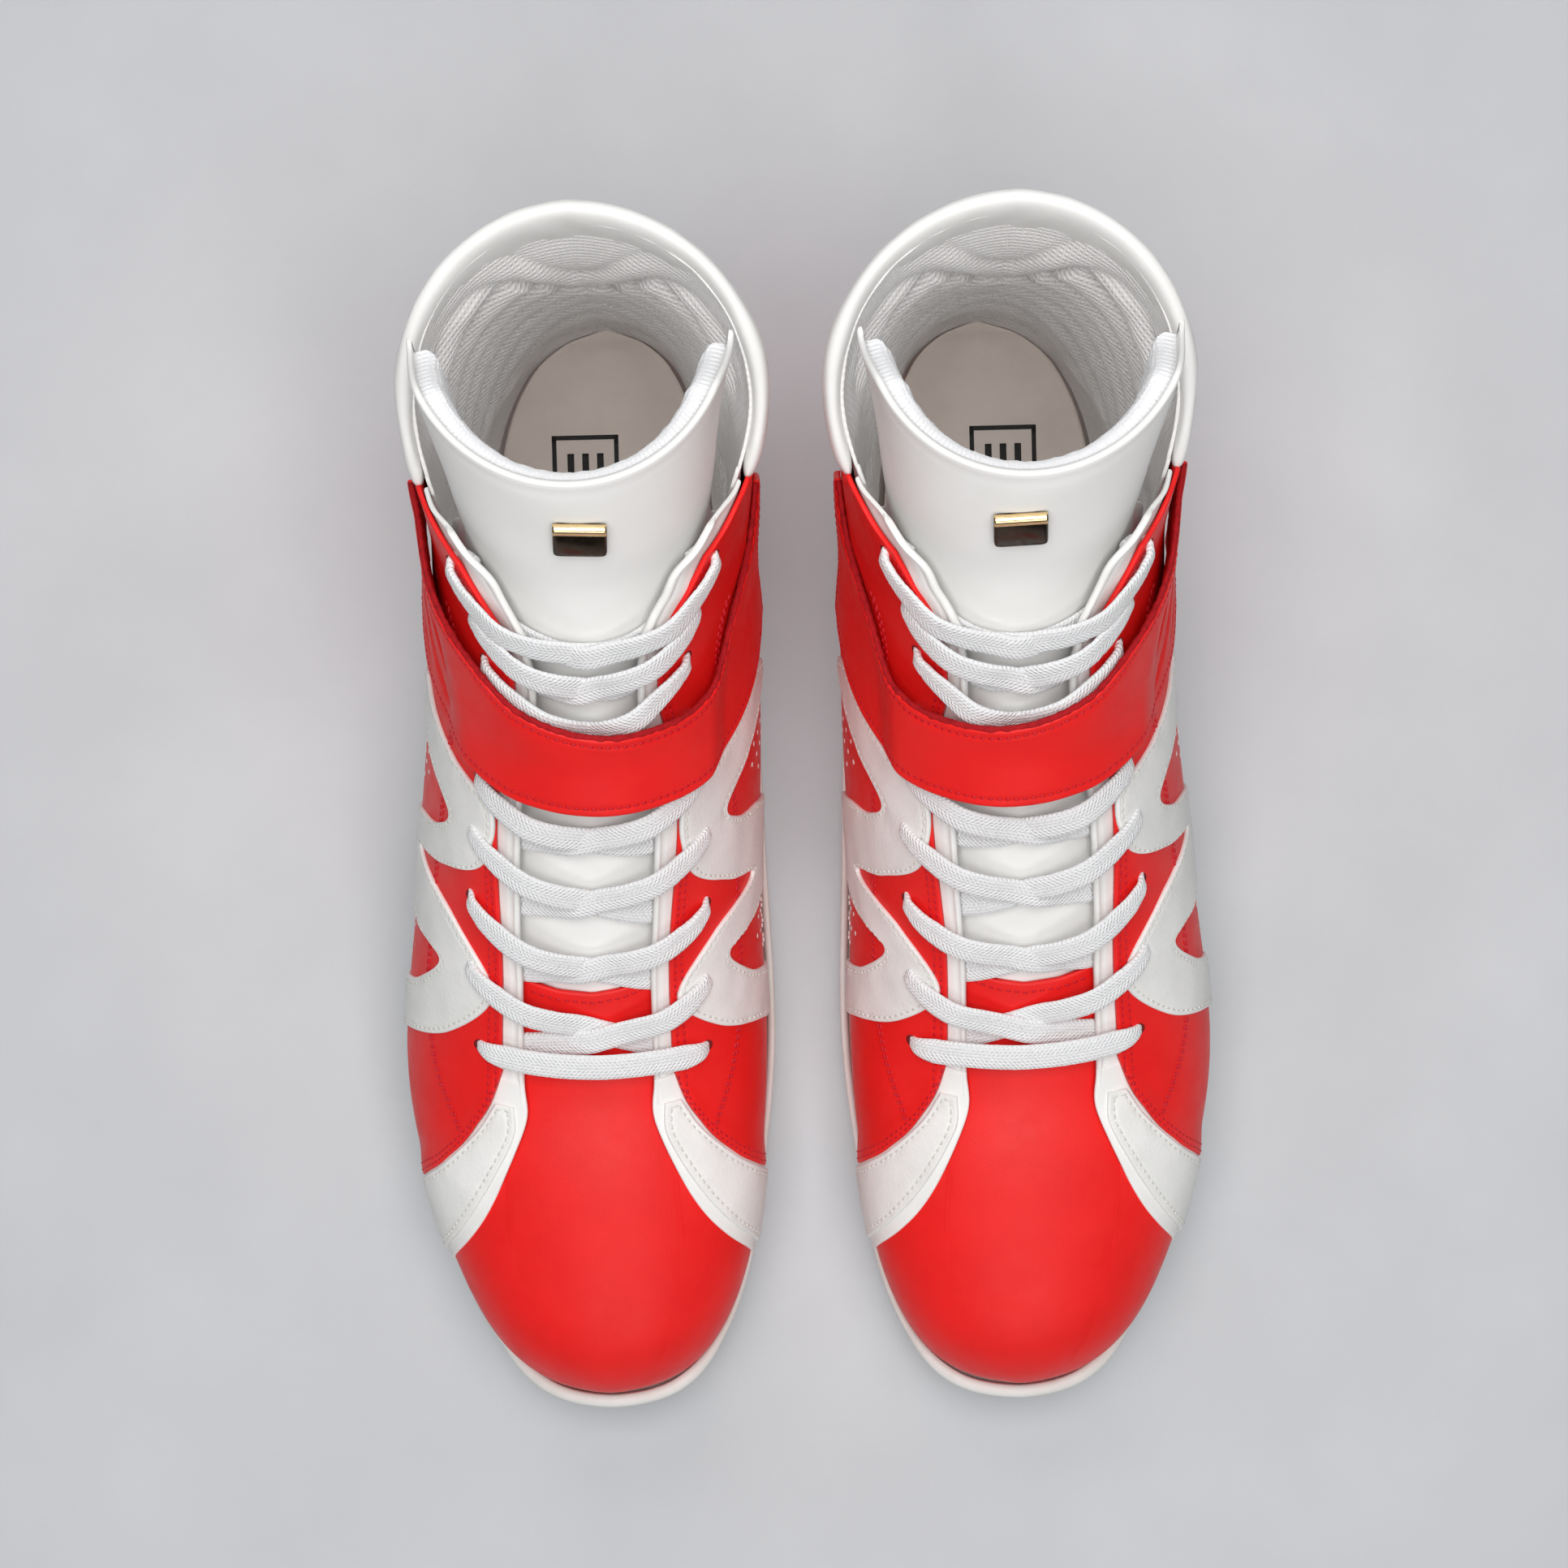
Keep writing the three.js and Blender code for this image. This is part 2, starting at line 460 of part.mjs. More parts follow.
// The strap comes down to the quarters beside the lace.
const strapLevel = (k) => (a, b) => {
  const side = b < 0 ? STRAP_SIDE.lateral : STRAP_SIDE.medial;
  return STRAP[k] + (side - STRAP[0]) * smooth((Math.abs(b) - 0.38) / 0.16);
};
const strapBase = strip(STRAP_UP.slice(0, FLAP_FROM + 1), STRAP_LOW.slice(0, FLAP_FROM + 1),
  1, 4, strapLevel(0), strapLevel(1));
const flapUp = STRAP_UP.slice(FLAP_FROM);
const flapLow = STRAP_LOW.slice(FLAP_FROM);
flapUp[0] = shift(flapUp[0], flapUp[1], 0.05);
flapLow[0] = shift(flapLow[0], flapLow[1], 0.05);
const strapFlap = strip(flapUp, flapLow, 2, 5, strapLevel(0), strapLevel(1));
const padPatch = (low, high) => strip([[0.835, -0.455], [0.8, -0.41]], [[0.715, -0.62],
  [0.69, -0.55]], 2, 5, low, high);
const hookPad = padPatch(1.8, 2.3);
const loopPad = padPatch(2.7, 3.2);

// ---------------------------------------------------------------- lace
// One lace per boot. Each step is [a, b, height, width, slant]: slant turns the flat of the lace.
// How far each crossing hangs below the straight line between its two eyelets, as a share of a.
const LACE_SAG = [0.016, 0.016, 0.016, 0.014, 0.014, 0.02, 0.024, 0.026];
function laceSteps() {
  const steps = [];
  const eye = (side, k) => [EYELETS[side][k][0], side * EYELETS[side][k][1]];
  // From under the eyelet `from` (side s, row k) across to the top of eyelet k + 1 on the other side.
  const crossing = (s, k) => {
    const [a0, b0] = eye(s, k);
    const [a1, b1] = eye(-s, k + 1);
    const top = s === MED ? LACE_UNDER + 0.1 : LACE_CROSS;
    const list = [];
    const sag = LACE_SAG[k] * 4;
    const put = (t, h, w) =>
      list.push([lerp(a0, a1, t) - sag * t * (1 - t), lerp(b0, b1, t), h, w]);
    put(0.0, LACE_UNDER + 1.6, LACE_NECK_W);
    put(0.022, LACE_UNDER + 0.35, LACE_NECK_W);
    put(0.06, LACE_UNDER, 3.8);
    put(0.16, LACE_UNDER, LACE_W);
    put(0.32, LACE_UNDER, LACE_W);
    put(0.44, lerp(LACE_UNDER, top, 0.9), LACE_W);
    put(0.56, Math.max(top, -2.2), LACE_W);
    put(0.66, 1.2, LACE_W);
    put(0.75, LACE_OVER, LACE_W);
    put(0.87, LACE_OVER, LACE_W);
    put(0.945, LACE_OVER, 3.8);
    put(0.98, LACE_OVER - 0.4, LACE_NECK_W);
    put(1.0, LACE_OVER - 1.8, LACE_NECK_W);
    return list;
  };
  return { crossing, eye };
}
const isoDirection = (a, b) => last(a + 1e-3, b).sub(last(a - 1e-3, b)).normalize();

// Turn steps into rectangular sections; the width lies across the run, or along a in an eyelet.
function laceBody() {
  const { crossing, eye } = laceSteps();
  const chains = [MED, LAT].map((start) => {
    const steps = [];
    let s = start;
    for (let k = 0; k < 8; k += 1) {
      steps.push(...crossing(s, k));
      s = -s;
    }
    // Tucked end: down through the top eyelet and a short way back under the facing.
    const [a, b] = eye(s, 8);
    steps.push([a, b, LACE_UNDER + 1.6, LACE_NECK_W]);
    steps.push([a, b - s * 0.008, LACE_UNDER + 0.35, LACE_NECK_W]);
    steps.push([a, b - s * 0.03, LACE_UNDER, 3.4]);
    return steps;
  });
  const bar = [];
  const [am, bm] = eye(MED, 0);
  const [al, bl] = eye(LAT, 0);
  const marks = [[0, LACE_OVER - 1.8, LACE_NECK_W], [0.022, LACE_OVER - 0.4, LACE_NECK_W],
    [0.06, LACE_OVER, 3.8], [0.15, LACE_OVER, LACE_W], [0.3, LACE_OVER, LACE_W],
    [0.4, LACE_OVER, LACE_W], [0.5, LACE_OVER, LACE_W]];
  const barSag = (t) => 0.05 * t * (1 - t);
  for (const [t, h, w] of marks) bar.push([lerp(al, am, t) - barSag(t), lerp(bl, bm, t), h, w]);
  for (const [t, h, w] of marks.slice(0, -1).reverse()) {
    bar.push([lerp(am, al, t) - barSag(t), lerp(bm, bl, t), h, w]);
  }
  const steps = [...chains[1].slice().reverse(), ...bar, ...chains[0]];
  const spots = steps.map(([a, b, h]) => at(a, b, h));
  let flip = 1;
  const sections = steps.map(([a, b, , w], i) => {
    const p = spots[Math.max(0, i - 1)];
    const q = spots[Math.min(spots.length - 1, i + 1)];
    const run = q.clone().sub(p).normalize();
    const n = lastNormal(a, b);
    const along = isoDirection(a, b);
    // The part of the run that lies in the surface gives the slant of the flat lace.
    const flat = run.clone().addScaledVector(n, -run.dot(n));
    let across = n.clone().cross(flat);
    if (flat.length() < 0.55) across = along.clone();
    if (across.dot(along) < 0) across.negate();
    across.addScaledVector(run, -across.dot(run)).normalize();
    const thick = run.clone().cross(across).normalize();
    const t = LACE_T;
    flip = 1;
    return [[-1, -1], [1, -1], [1, 1], [-1, 1]].map(([x, y]) => spots[i].clone()
      .addScaledVector(across, x * w / 2).addScaledVector(thick, flip * y * t / 2));
  });
  return sweep(sections, false);
}

// ---------------------------------------------------------------- materials and nodes
const RED = [0xc81a1e, 0.42, 0];
const WHITE = [0xf2f0ea, 0.48, 0];
const CLOTH = [0xf4f3f0, 0.95, 0];
const RUBBER = [0xf4f3ef, 0.6, 0];
const BOARD = [0xbfa98f, 0.9, 0];
const INSOLE = [0xbfaea4, 0.85, 0];
const GOLD = [0xd9b36a, 0.25, 1];
const HOOK = [0x8e1216, 0.95, 0];

const PIECES = [
  ['outsole', outsole, RUBBER],
  ['midsole', midsole, RUBBER],
  ['toe_bumper', toeBumper, RUBBER],
  ['insole_board', insoleBoard, BOARD],
  ['sockliner', sockliner, INSOLE],
  ['heel_counter', heelCounter, BOARD],
  ['toe_puff', toePuff, BOARD],
  ['vamp', vamp, RED],
  ['vamp_lining', vampLining, CLOTH],
  ['toe_wing_lateral', wing(LAT), WHITE],
  ['toe_wing_medial', wing(MED), WHITE],
  ['quarter_lateral', quarter(LAT), RED],
  ['quarter_medial', quarter(MED), RED],
  ['facing_lateral', facing(LAT), WHITE],
  ['facing_medial', facing(MED), WHITE],
  ['lining_lateral', lining(LAT), CLOTH],
  ['lining_medial', lining(MED), CLOTH],
  ['side_band_lateral', band(LAT), WHITE],
  ['side_band_medial', band(MED), WHITE],
  ['heel_panel', heelPanel, WHITE],
  ['collar', collar, WHITE],
  ['tongue_body', tongueBody, WHITE],
  ['tongue_top', tongueTop, WHITE],
  ['tongue_badge', badge(), GOLD],
  ['strap_base', strapBase, RED],
  ['strap_flap', strapFlap, RED],
  ['strap_hook_pad', hookPad, HOOK],
  ['strap_loop_pad', loopPad, HOOK],
  ['lace', laceBody(), CLOTH],
];

// Place a piece: the right boot is moved to -X, the left boot is the mirror image.
function place(geometry, left) {
  const g = mergeVertices(geometry, 1e-4);
  const p = g.attributes.position;
  for (let i = 0; i < p.count; i += 1) {
    const x = p.getX(i) - HALF_SPACING;
    p.setX(i, left ? -x : x);
  }
  if (left) {
    const k = g.index.array;
    for (let i = 0; i < k.length; i += 3) [k[i + 1], k[i + 2]] = [k[i + 2], k[i + 1]];
  }
  g.computeVertexNormals();
  return g;
}
const group = new THREE.Group();
for (const left of [false, true]) {
  for (const [name, geometry, [color, roughness, metalness]] of PIECES) {
    const material = new THREE.MeshStandardMaterial({ color, roughness, metalness });
    const mesh = new THREE.Mesh(place(geometry.clone(), left), material);
    mesh.name = `${left ? 'left' : 'right'}_${name}`;
    group.add(mesh);
  }
}
export default group;
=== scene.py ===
"""Looks of a pair of red and white high-top boxing boots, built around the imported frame.

Every shape is worked out in millimetres for the right boot alone, toes towards -Y, lateral side
at -x and medial side at +x. `both_boots` puts it in place at -X and, mirrored, at +X, in metres.
Most pieces lie on the surface of the last: a place on it is (a, b), where a runs from 0 at the
toe to 1 at the top of the collar, and b from -1 at the lateral edge over 0 at the top to 1 at the
medial edge. A height h is measured outwards along the normal there.
"""
import math

import bpy
import numpy as np
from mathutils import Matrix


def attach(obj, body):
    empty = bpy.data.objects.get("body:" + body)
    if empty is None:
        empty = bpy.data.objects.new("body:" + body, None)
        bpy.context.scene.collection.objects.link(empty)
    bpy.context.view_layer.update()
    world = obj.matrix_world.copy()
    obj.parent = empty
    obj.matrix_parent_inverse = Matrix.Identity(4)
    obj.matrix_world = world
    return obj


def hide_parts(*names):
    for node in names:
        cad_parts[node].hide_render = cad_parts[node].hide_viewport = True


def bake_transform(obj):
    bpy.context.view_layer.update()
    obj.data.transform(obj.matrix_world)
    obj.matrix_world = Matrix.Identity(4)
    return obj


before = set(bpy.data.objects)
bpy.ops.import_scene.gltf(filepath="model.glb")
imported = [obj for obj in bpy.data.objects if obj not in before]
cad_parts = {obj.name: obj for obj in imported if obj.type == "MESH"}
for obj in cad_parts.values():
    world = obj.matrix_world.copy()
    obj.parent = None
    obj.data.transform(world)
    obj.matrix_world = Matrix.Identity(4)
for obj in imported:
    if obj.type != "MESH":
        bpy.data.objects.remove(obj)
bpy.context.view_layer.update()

MM = 0.001
HALF_SPACING = 54.0
LATERAL, MEDIAL = -1, 1
SIDES = (LATERAL, MEDIAL)

# ---------------------------------------------------------------- camera, light, floor
CAMERA_PLACE = (-0.00495, 0.0173, 0.750)
CAMERA_TURN = math.radians(-1.39)
LENS = 61.49


def aim(obj, target):
    """Turns an object so that its -Z looks at the target."""
    way = np.array(target, float) - np.array(obj.location, float)
    flat = math.hypot(way[0], way[1])
    heading = math.atan2(-way[0], way[1]) if flat > 1e-6 else 0
    obj.rotation_euler = (math.atan2(flat, -way[2]), 0, heading)


def softbox(name, place, target, size, power):
    light = bpy.data.lights.new(name, "AREA")
    light.shape = "RECTANGLE"
    light.size, light.size_y = size
    light.energy = power
    lamp = bpy.data.objects.new(name, light)
    lamp.location = place
    bpy.context.scene.collection.objects.link(lamp)
    aim(lamp, target)


def studio():
    """Camera straight above the pair, a softbox beside it, two weaker fills and a pale floor."""
    scene = bpy.context.scene
    scene.view_settings.view_transform = "Standard"
    data = bpy.data.cameras.new("overhead_camera")
    data.lens = LENS
    data.sensor_width = 36
    camera = bpy.data.objects.new("overhead_camera", data)
    camera.location = CAMERA_PLACE
    camera.rotation_euler = (0, 0, CAMERA_TURN)
    scene.collection.objects.link(camera)
    scene.camera = camera
    softbox("overhead_softbox", (0.0, 0.06, 1.05), (0, 0.03, 0.05), (0.8, 0.8), 8.8)
    softbox("front_softbox", (0.1, -0.95, 0.95), (0, 0, 0.05), (0.8, 0.5), 3.0)
    softbox("back_softbox", (-0.1, 0.95, 0.95), (0, 0, 0.08), (0.8, 0.5), 3.0)
    world = bpy.data.worlds.new("studio_air")
    world.use_nodes = True
    air = world.node_tree.nodes["Background"]
    air.inputs["Color"].default_value = (0.95, 0.97, 1, 1)
    air.inputs["Strength"].default_value = 0.14
    scene.world = world
    mesh = bpy.data.meshes.new("floor")
    mesh.from_pydata([(-4, -4, 0), (4, -4, 0), (4, 4, 0), (-4, 4, 0)], [], [(0, 1, 2, 3)])
    floor = bpy.data.objects.new("floor", mesh)
    scene.collection.objects.link(floor)
    floor.data.materials.append(floor_paper())


# ---------------------------------------------------------------- materials
def new_material(name, colour, roughness, specular=0.5, sheen=0.0, metal=0.0):
    """Principled material with its even values on the shader's own sockets."""
    mat = bpy.data.materials.new(name)
    mat.use_nodes = True
    shader = mat.node_tree.nodes["Principled BSDF"]
    shader.inputs["Base Color"].default_value = (*colour, 1)
    shader.inputs["Roughness"].default_value = roughness
    shader.inputs["Specular IOR Level"].default_value = specular
    shader.inputs["Metallic"].default_value = metal
    shader.inputs["Sheen Weight"].default_value = sheen
    return mat, mat.node_tree, shader


def node(tree, kind, **values):
    """New node; a value named like an input goes to that input, any other to a property."""
    made = tree.nodes.new(kind)
    for key, value in values.items():
        if key in made.inputs:
            made.inputs[key].default_value = value
        else:
            setattr(made, key, value)
    return made


def coordinates(tree, output="Object"):
    return node(tree, "ShaderNodeTexCoord").outputs[output]


def noise(tree, vector, scale, detail=3.0, rough=0.55):
    made = node(tree, "ShaderNodeTexNoise", Scale=scale, Detail=detail, Roughness=rough)
    tree.links.new(vector, made.inputs["Vector"])
    return made.outputs["Fac"]


def cells(tree, vector, scale):
    """Distance to the nearest cell wall, which makes pebbled grain."""
    made = node(tree, "ShaderNodeTexVoronoi", Scale=scale, feature="DISTANCE_TO_EDGE")
    tree.links.new(vector, made.inputs["Vector"])
    return made.outputs["Distance"]


def maths(tree, operation, first, second=0.0):
    made = node(tree, "ShaderNodeMath", operation=operation)
    for socket, value in zip(made.inputs, (first, second)):
        if isinstance(value, (int, float)):
            socket.default_value = value
        else:
            tree.links.new(value, socket)
    return made.outputs[0]


def two_tone(tree, shader, amount, first, second, socket="Base Color", low=0.3, high=0.7):
    """Colour or roughness that runs from first to second as amount goes from low to high."""
    ramp = node(tree, "ShaderNodeValToRGB")
    ramp.color_ramp.elements[0].position = low
    ramp.color_ramp.elements[1].position = high
    for element, tone in zip(ramp.color_ramp.elements, (first, second)):
        element.color = (*tone, 1) if not isinstance(tone, float) else (tone, tone, tone, 1)
    tree.links.new(amount, ramp.inputs["Fac"])
    tree.links.new(ramp.outputs["Color"], shader.inputs[socket])


def bumps(tree, shader, *layers):
    """Stacks bump layers: each is (height, depth in millimetres)."""
    normal = None
    for height, depth in layers:
        made = node(tree, "ShaderNodeBump", Strength=1.0, Distance=depth * MM)
        tree.links.new(height, made.inputs["Height"])
        if normal is not None:
            tree.links.new(normal, made.inputs["Normal"])
        normal = made.outputs["Normal"]
    tree.links.new(normal, shader.inputs["Normal"])


def leather(name, light, dark, roughness, grain, depth, coat=0.0):
    """Finished leather: faint blotches of colour, pebbled grain and fine pores."""
    mat, tree, shader = new_material(name, light, roughness, specular=0.3)
    where = coordinates(tree)
    two_tone(tree, shader, noise(tree, where, 55, 4), dark, light)
    two_tone(tree, shader, noise(tree, where, 160, 5), roughness - 0.05, roughness + 0.08, "Roughness")
    shader.inputs["Coat Weight"].default_value = coat
    shader.inputs["Coat Roughness"].default_value = 0.35
    bumps(tree, shader, (cells(tree, where, grain), depth), (noise(tree, where, 2600, 2), depth * 0.35),
          (noise(tree, where, 230, 3), depth * 0.9))
    return mat


def knit(name, light, dark, pitch, depth, fuzz):
    """Knitted cloth: rows of loops across UV, roughened by fuzz."""
    mat, tree, shader = new_material(name, light, 0.95, specular=0.15, sheen=0.35)
    shader.inputs["Sheen Roughness"].default_value = 0.5
    where = coordinates(tree, "UV")
    body = coordinates(tree)
    parts = node(tree, "ShaderNodeSeparateXYZ")
    tree.links.new(where, parts.inputs[0])
    turn = 2 * math.pi / (pitch * MM)
    rows = maths(tree, "SINE", maths(tree, "MULTIPLY", parts.outputs["X"], turn))
    columns = maths(tree, "SINE", maths(tree, "MULTIPLY", parts.outputs["Y"], turn * 0.7))
    loops = maths(tree, "MULTIPLY", maths(tree, "ADD", rows, 1.2), maths(tree, "ADD", columns, 1.4))
    hairs = noise(tree, body, 1500, 4, 0.7)
    two_tone(tree, shader, maths(tree, "ADD", maths(tree, "MULTIPLY", loops, 0.12), hairs), dark, light,
             low=0.25, high=0.95)
    bumps(tree, shader, (loops, depth), (hairs, fuzz))
    return mat


def braid(name, light, dark):
    """Flat braided lace: chevron yarns along UV with a soft fuzz."""
    mat, tree, shader = new_material(name, light, 0.9, specular=0.2, sheen=0.3)
    parts = node(tree, "ShaderNodeSeparateXYZ")
    tree.links.new(coordinates(tree, "UV"), parts.inputs[0])
    across = maths(tree, "ABSOLUTE", parts.outputs["Y"])
    along = maths(tree, "ADD", parts.outputs["X"], maths(tree, "MULTIPLY", across, 0.8))
    yarn = maths(tree, "SINE", maths(tree, "MULTIPLY", along, 2 * math.pi / (1.15 * MM)))
    ends = maths(tree, "SINE", maths(tree, "MULTIPLY", parts.outputs["Y"], 2 * math.pi / (0.9 * MM)))
    weave = maths(tree, "ADD", yarn, maths(tree, "MULTIPLY", ends, 0.6))
    hairs = noise(tree, coordinates(tree), 1900, 4, 0.75)
    tone = maths(tree, "ADD", hairs, maths(tree, "MULTIPLY", weave, 0.07))
    two_tone(tree, shader, tone, dark, light, low=0.3, high=0.62)
    bumps(tree, shader, (weave, 0.09), (hairs, 0.22))
    return mat


def moulded_rubber(name, light, dark):
    """Matte moulded rubber with cloudy yellowing and a fine cast texture."""
    mat, tree, shader = new_material(name, light, 0.55, specular=0.4)
    where = coordinates(tree)
    two_tone(tree, shader, noise(tree, where, 38, 5, 0.65), dark, light, low=0.25, high=0.6)
    bumps(tree, shader, (noise(tree, where, 1400, 3), 0.06), (noise(tree, where, 120, 4), 0.12))
    return mat


def plain_cloth(name, light, dark, roughness, scale, depth):
    """Smooth covering with specks and a fine tooth."""
    mat, tree, shader = new_material(name, light, roughness, specular=0.3)
    where = coordinates(tree)
    two_tone(tree, shader, noise(tree, where, scale, 6, 0.7), dark, light, low=0.28, high=0.55)
    bumps(tree, shader, (noise(tree, where, 1700, 3), depth))
    return mat


def polished_metal(name, light, dark, roughness):
    """Plated metal with faint wiping marks."""
    mat, tree, shader = new_material(name, light, roughness, metal=1.0)
    where = coordinates(tree)
    two_tone(tree, shader, noise(tree, where, 300, 4), dark, light)
    two_tone(tree, shader, noise(tree, where, 700, 3), roughness * 0.7, roughness * 1.4, "Roughness")
    bumps(tree, shader, (noise(tree, where, 900, 2), 0.004))
    return mat


def floor_paper():
    """Pale backdrop paper with a barely visible tooth."""
    mat, tree, shader = new_material("floor_paper", (0.6, 0.61, 0.63), 0.85, specular=0.2)
    where = coordinates(tree)
    two_tone(tree, shader, noise(tree, where, 14, 5), (0.57, 0.58, 0.6), (0.62, 0.63, 0.65))
    bumps(tree, shader, (noise(tree, where, 900, 3), 0.05))
    return mat


RED_LIGHT, RED_DARK = (0.88, 0.014, 0.012), (0.80, 0.011, 0.010)
WHITE_LIGHT, WHITE_DARK = (0.90, 0.89, 0.87), (0.865, 0.855, 0.83)
# Each finish: its maker, then the values the maker takes after the name
FINISHES = {
    "red_leather": (leather, RED_LIGHT, RED_DARK, 0.46, 900, 0.03, 0.03),
    "strap_leather": (leather, RED_LIGHT, RED_DARK, 0.5, 1000, 0.03, 0.02),
    "white_leather": (leather, WHITE_LIGHT, WHITE_DARK, 0.5, 1000, 0.02),
    "grained_white": (leather, WHITE_LIGHT, (0.79, 0.785, 0.76), 0.52, 620, 0.10),
    "red_edge": (plain_cloth, (0.42, 0.006, 0.010), (0.22, 0.002, 0.006), 0.85, 500, 0.25),
    "lining_knit": (knit, (0.95, 0.93, 0.915), (0.89, 0.86, 0.84), 1.2, 0.05, 0.06),
    "terry": (knit, (0.95, 0.95, 0.96), (0.90, 0.90, 0.915), 0.9, 0.04, 0.22),
    "lace_cotton": (braid, (0.95, 0.95, 0.95), (0.86, 0.86, 0.87)),
    "rubber": (moulded_rubber, (0.82, 0.81, 0.78), (0.70, 0.68, 0.62)),
    "tread_rubber": (moulded_rubber, (0.78, 0.77, 0.74), (0.62, 0.60, 0.55)),
    "insole_cloth": (plain_cloth, (0.84, 0.74, 0.67), (0.79, 0.69, 0.62), 0.62, 60, 0.03),
    "insole_ink": (plain_cloth, (0.012, 0.010, 0.010), (0.03, 0.025, 0.02), 0.6, 900, 0.03),
    "board": (plain_cloth, (0.52, 0.40, 0.28), (0.42, 0.32, 0.22), 0.9, 400, 0.1),
    "hook_tape": (plain_cloth, (0.34, 0.010, 0.012), (0.16, 0.004, 0.006), 0.95, 1600, 0.35),
    "red_thread": (plain_cloth, (0.60, 0.006, 0.018), (0.42, 0.003, 0.010), 0.42, 2200, 0.08),
    "white_thread": (plain_cloth, (0.74, 0.72, 0.67), (0.60, 0.58, 0.53), 0.7, 2200, 0.08),
    # Eyelet holes: dark discs whose colour is painted shade for the inside of each hole
    "hole_dark": (plain_cloth, (0.22, 0.014, 0.014), (0.10, 0.006, 0.006), 0.9, 900, 0.05),
    "hole_white": (plain_cloth, (0.88, 0.84, 0.80), (0.78, 0.72, 0.68), 0.9, 1400, 0.05),
    "gilt": (polished_metal, (0.95, 0.72, 0.40), (0.90, 0.66, 0.34), 0.16),
    "dark_gilt": (polished_metal, (0.075, 0.052, 0.036), (0.055, 0.040, 0.028), 0.22),
}
made_materials = {}


def material(name):
    if name not in made_materials:
        maker, *values = FINISHES[name]
        made_materials[name] = maker(name, *values)
    return made_materials[name]


# ---------------------------------------------------------------- the last
# Rows: a, top y, top z, edge y, edge z, middle x, lateral and medial half width, end angle, egg
ROWS = np.array([
    [0.00, -144, 28, -144, 21, -1.0, 0.5, 0.5, 100, 0.10],
    [0.05, -140, 39, -141, 19, -1.1, 15.5, 16.0, 102, 0.15],
    [0.11, -129, 48, -130, 17, -1.4, 27.7, 27.8, 104, 0.18],
    [0.19, -109, 54, -110, 15, -1.8, 37.8, 36.7, 106, 0.16],
    [0.28, -82, 59, -82, 14, -2.0, 46.4, 41.6, 108, 0.10],
    [0.38, -53, 67, -49, 14, -1.2, 51.5, 43.2, 110, 0.00],
    [0.48, -24, 84, -2, 16, 0.0, 48.0, 41.0, 114, -0.04],
    [0.57, 3, 100, 46, 19, 1.5, 44.5, 40.5, 122, -0.02],
    [0.65, 22, 112, 92, 21, 3.0, 42.5, 38.6, 128, 0.00],
    [0.70, 31, 119.5, 116, 22, 3.5, 41.2, 37.6, 133, 0.03],
    [0.735, 37.5, 125, 131.5, 23, 3.8, 40.5, 37.4, 145, 0.05],
    [0.757, 41.5, 128.3, 139.5, 24.5, 4.1, 40.1, 37.3, 160, 0.06],
    [0.775, 44.5, 131, 144, 29, 4.2, 39.8, 37.3, 180, 0.06],
    [0.81, 50, 136.5, 145.3, 48, 4.3, 39.5, 37.6, 180, 0.05],
    [0.87, 60, 147, 144.8, 82, 4.4, 39.6, 38.8, 180, 0.05],
    [0.93, 69, 158, 143, 117, 4.4, 39.7, 41.0, 180, 0.05],
    [1.00, 80, 172, 146.2, 158, 4.2, 38.7, 41.2, 180, 0.06],
])


def smooth(t):
    """0 below 0, 1 above 1, and 3t^2 - 2t^3 between."""
    t = np.clip(t, 0, 1)
    return t * t * (3 - 2 * t)


def lerp(p, q, t):
    return p + (q - p) * t


def hermite(knots, values, slopes, x):
    """Cubic through the values at the knots with the given slopes; values may have several columns."""
    x = np.asarray(x, float)
    i = np.clip(np.searchsorted(knots, x, side="right") - 1, 0, len(knots) - 2)
    step = knots[i + 1] - knots[i]
    t = np.clip((x - knots[i]) / step, 0, 1)
    if values.ndim > 1:
        step, t = step[..., None], t[..., None]
    return ((2 * t**3 - 3 * t**2 + 1) * values[i] + (t**3 - 2 * t**2 + t) * step * slopes[i]
            + (3 * t**2 - 2 * t**3) * values[i + 1] + (t**3 - t**2) * step * slopes[i + 1])


def row_slopes():
    """Slope at each row from its two neighbours; the toe is level in y, so that it is round."""
    slopes = np.empty_like(ROWS[:, 1:])
    slopes[1:-1] = (ROWS[2:, 1:] - ROWS[:-2, 1:]) / (ROWS[2:, :1] - ROWS[:-2, :1])
    slopes[0] = (ROWS[1, 1:] - ROWS[0, 1:]) / (ROWS[1, 0] - ROWS[0, 0])
    slopes[-1] = (ROWS[-1, 1:] - ROWS[-2, 1:]) / (ROWS[-1, 0] - ROWS[-2, 0])
    slopes[0, [0, 2]] = 0
    return slopes


SLOPES = row_slopes()


def row_at(a):
    return hermite(ROWS[:, 0], ROWS[:, 1:], SLOPES, a)


def last(a, b):
    """Point of the last: an egg-shaped arc in the plane through a row's top and edge points.

    With t = |b| times the end angle and f = (1 - cos t) / (1 - cos end), y and z run from the top
    to the edge by f, and x = middle + sign(b) * half width * sin t * (1 + egg * cos t)."""
    a, b = np.broadcast_arrays(np.asarray(a, float), np.asarray(b, float))
    top_y, top_z, edge_y, edge_z, middle, lateral, medial, degrees, egg = np.moveaxis(row_at(a), -1, 0)
    end = np.radians(np.minimum(degrees, 180))
    t = np.abs(b) * end
    f = (1 - np.cos(t)) / (1 - np.cos(end))
    half = np.where(b < 0, lateral, medial)
    x = middle + np.sign(b) * half * np.sin(t) * (1 + egg * np.cos(t))
    return np.stack([x, lerp(top_y, edge_y, f), lerp(top_z, edge_z, f)], -1)


def unit(v):
    return v / np.maximum(np.linalg.norm(v, axis=-1, keepdims=True), 1e-9)


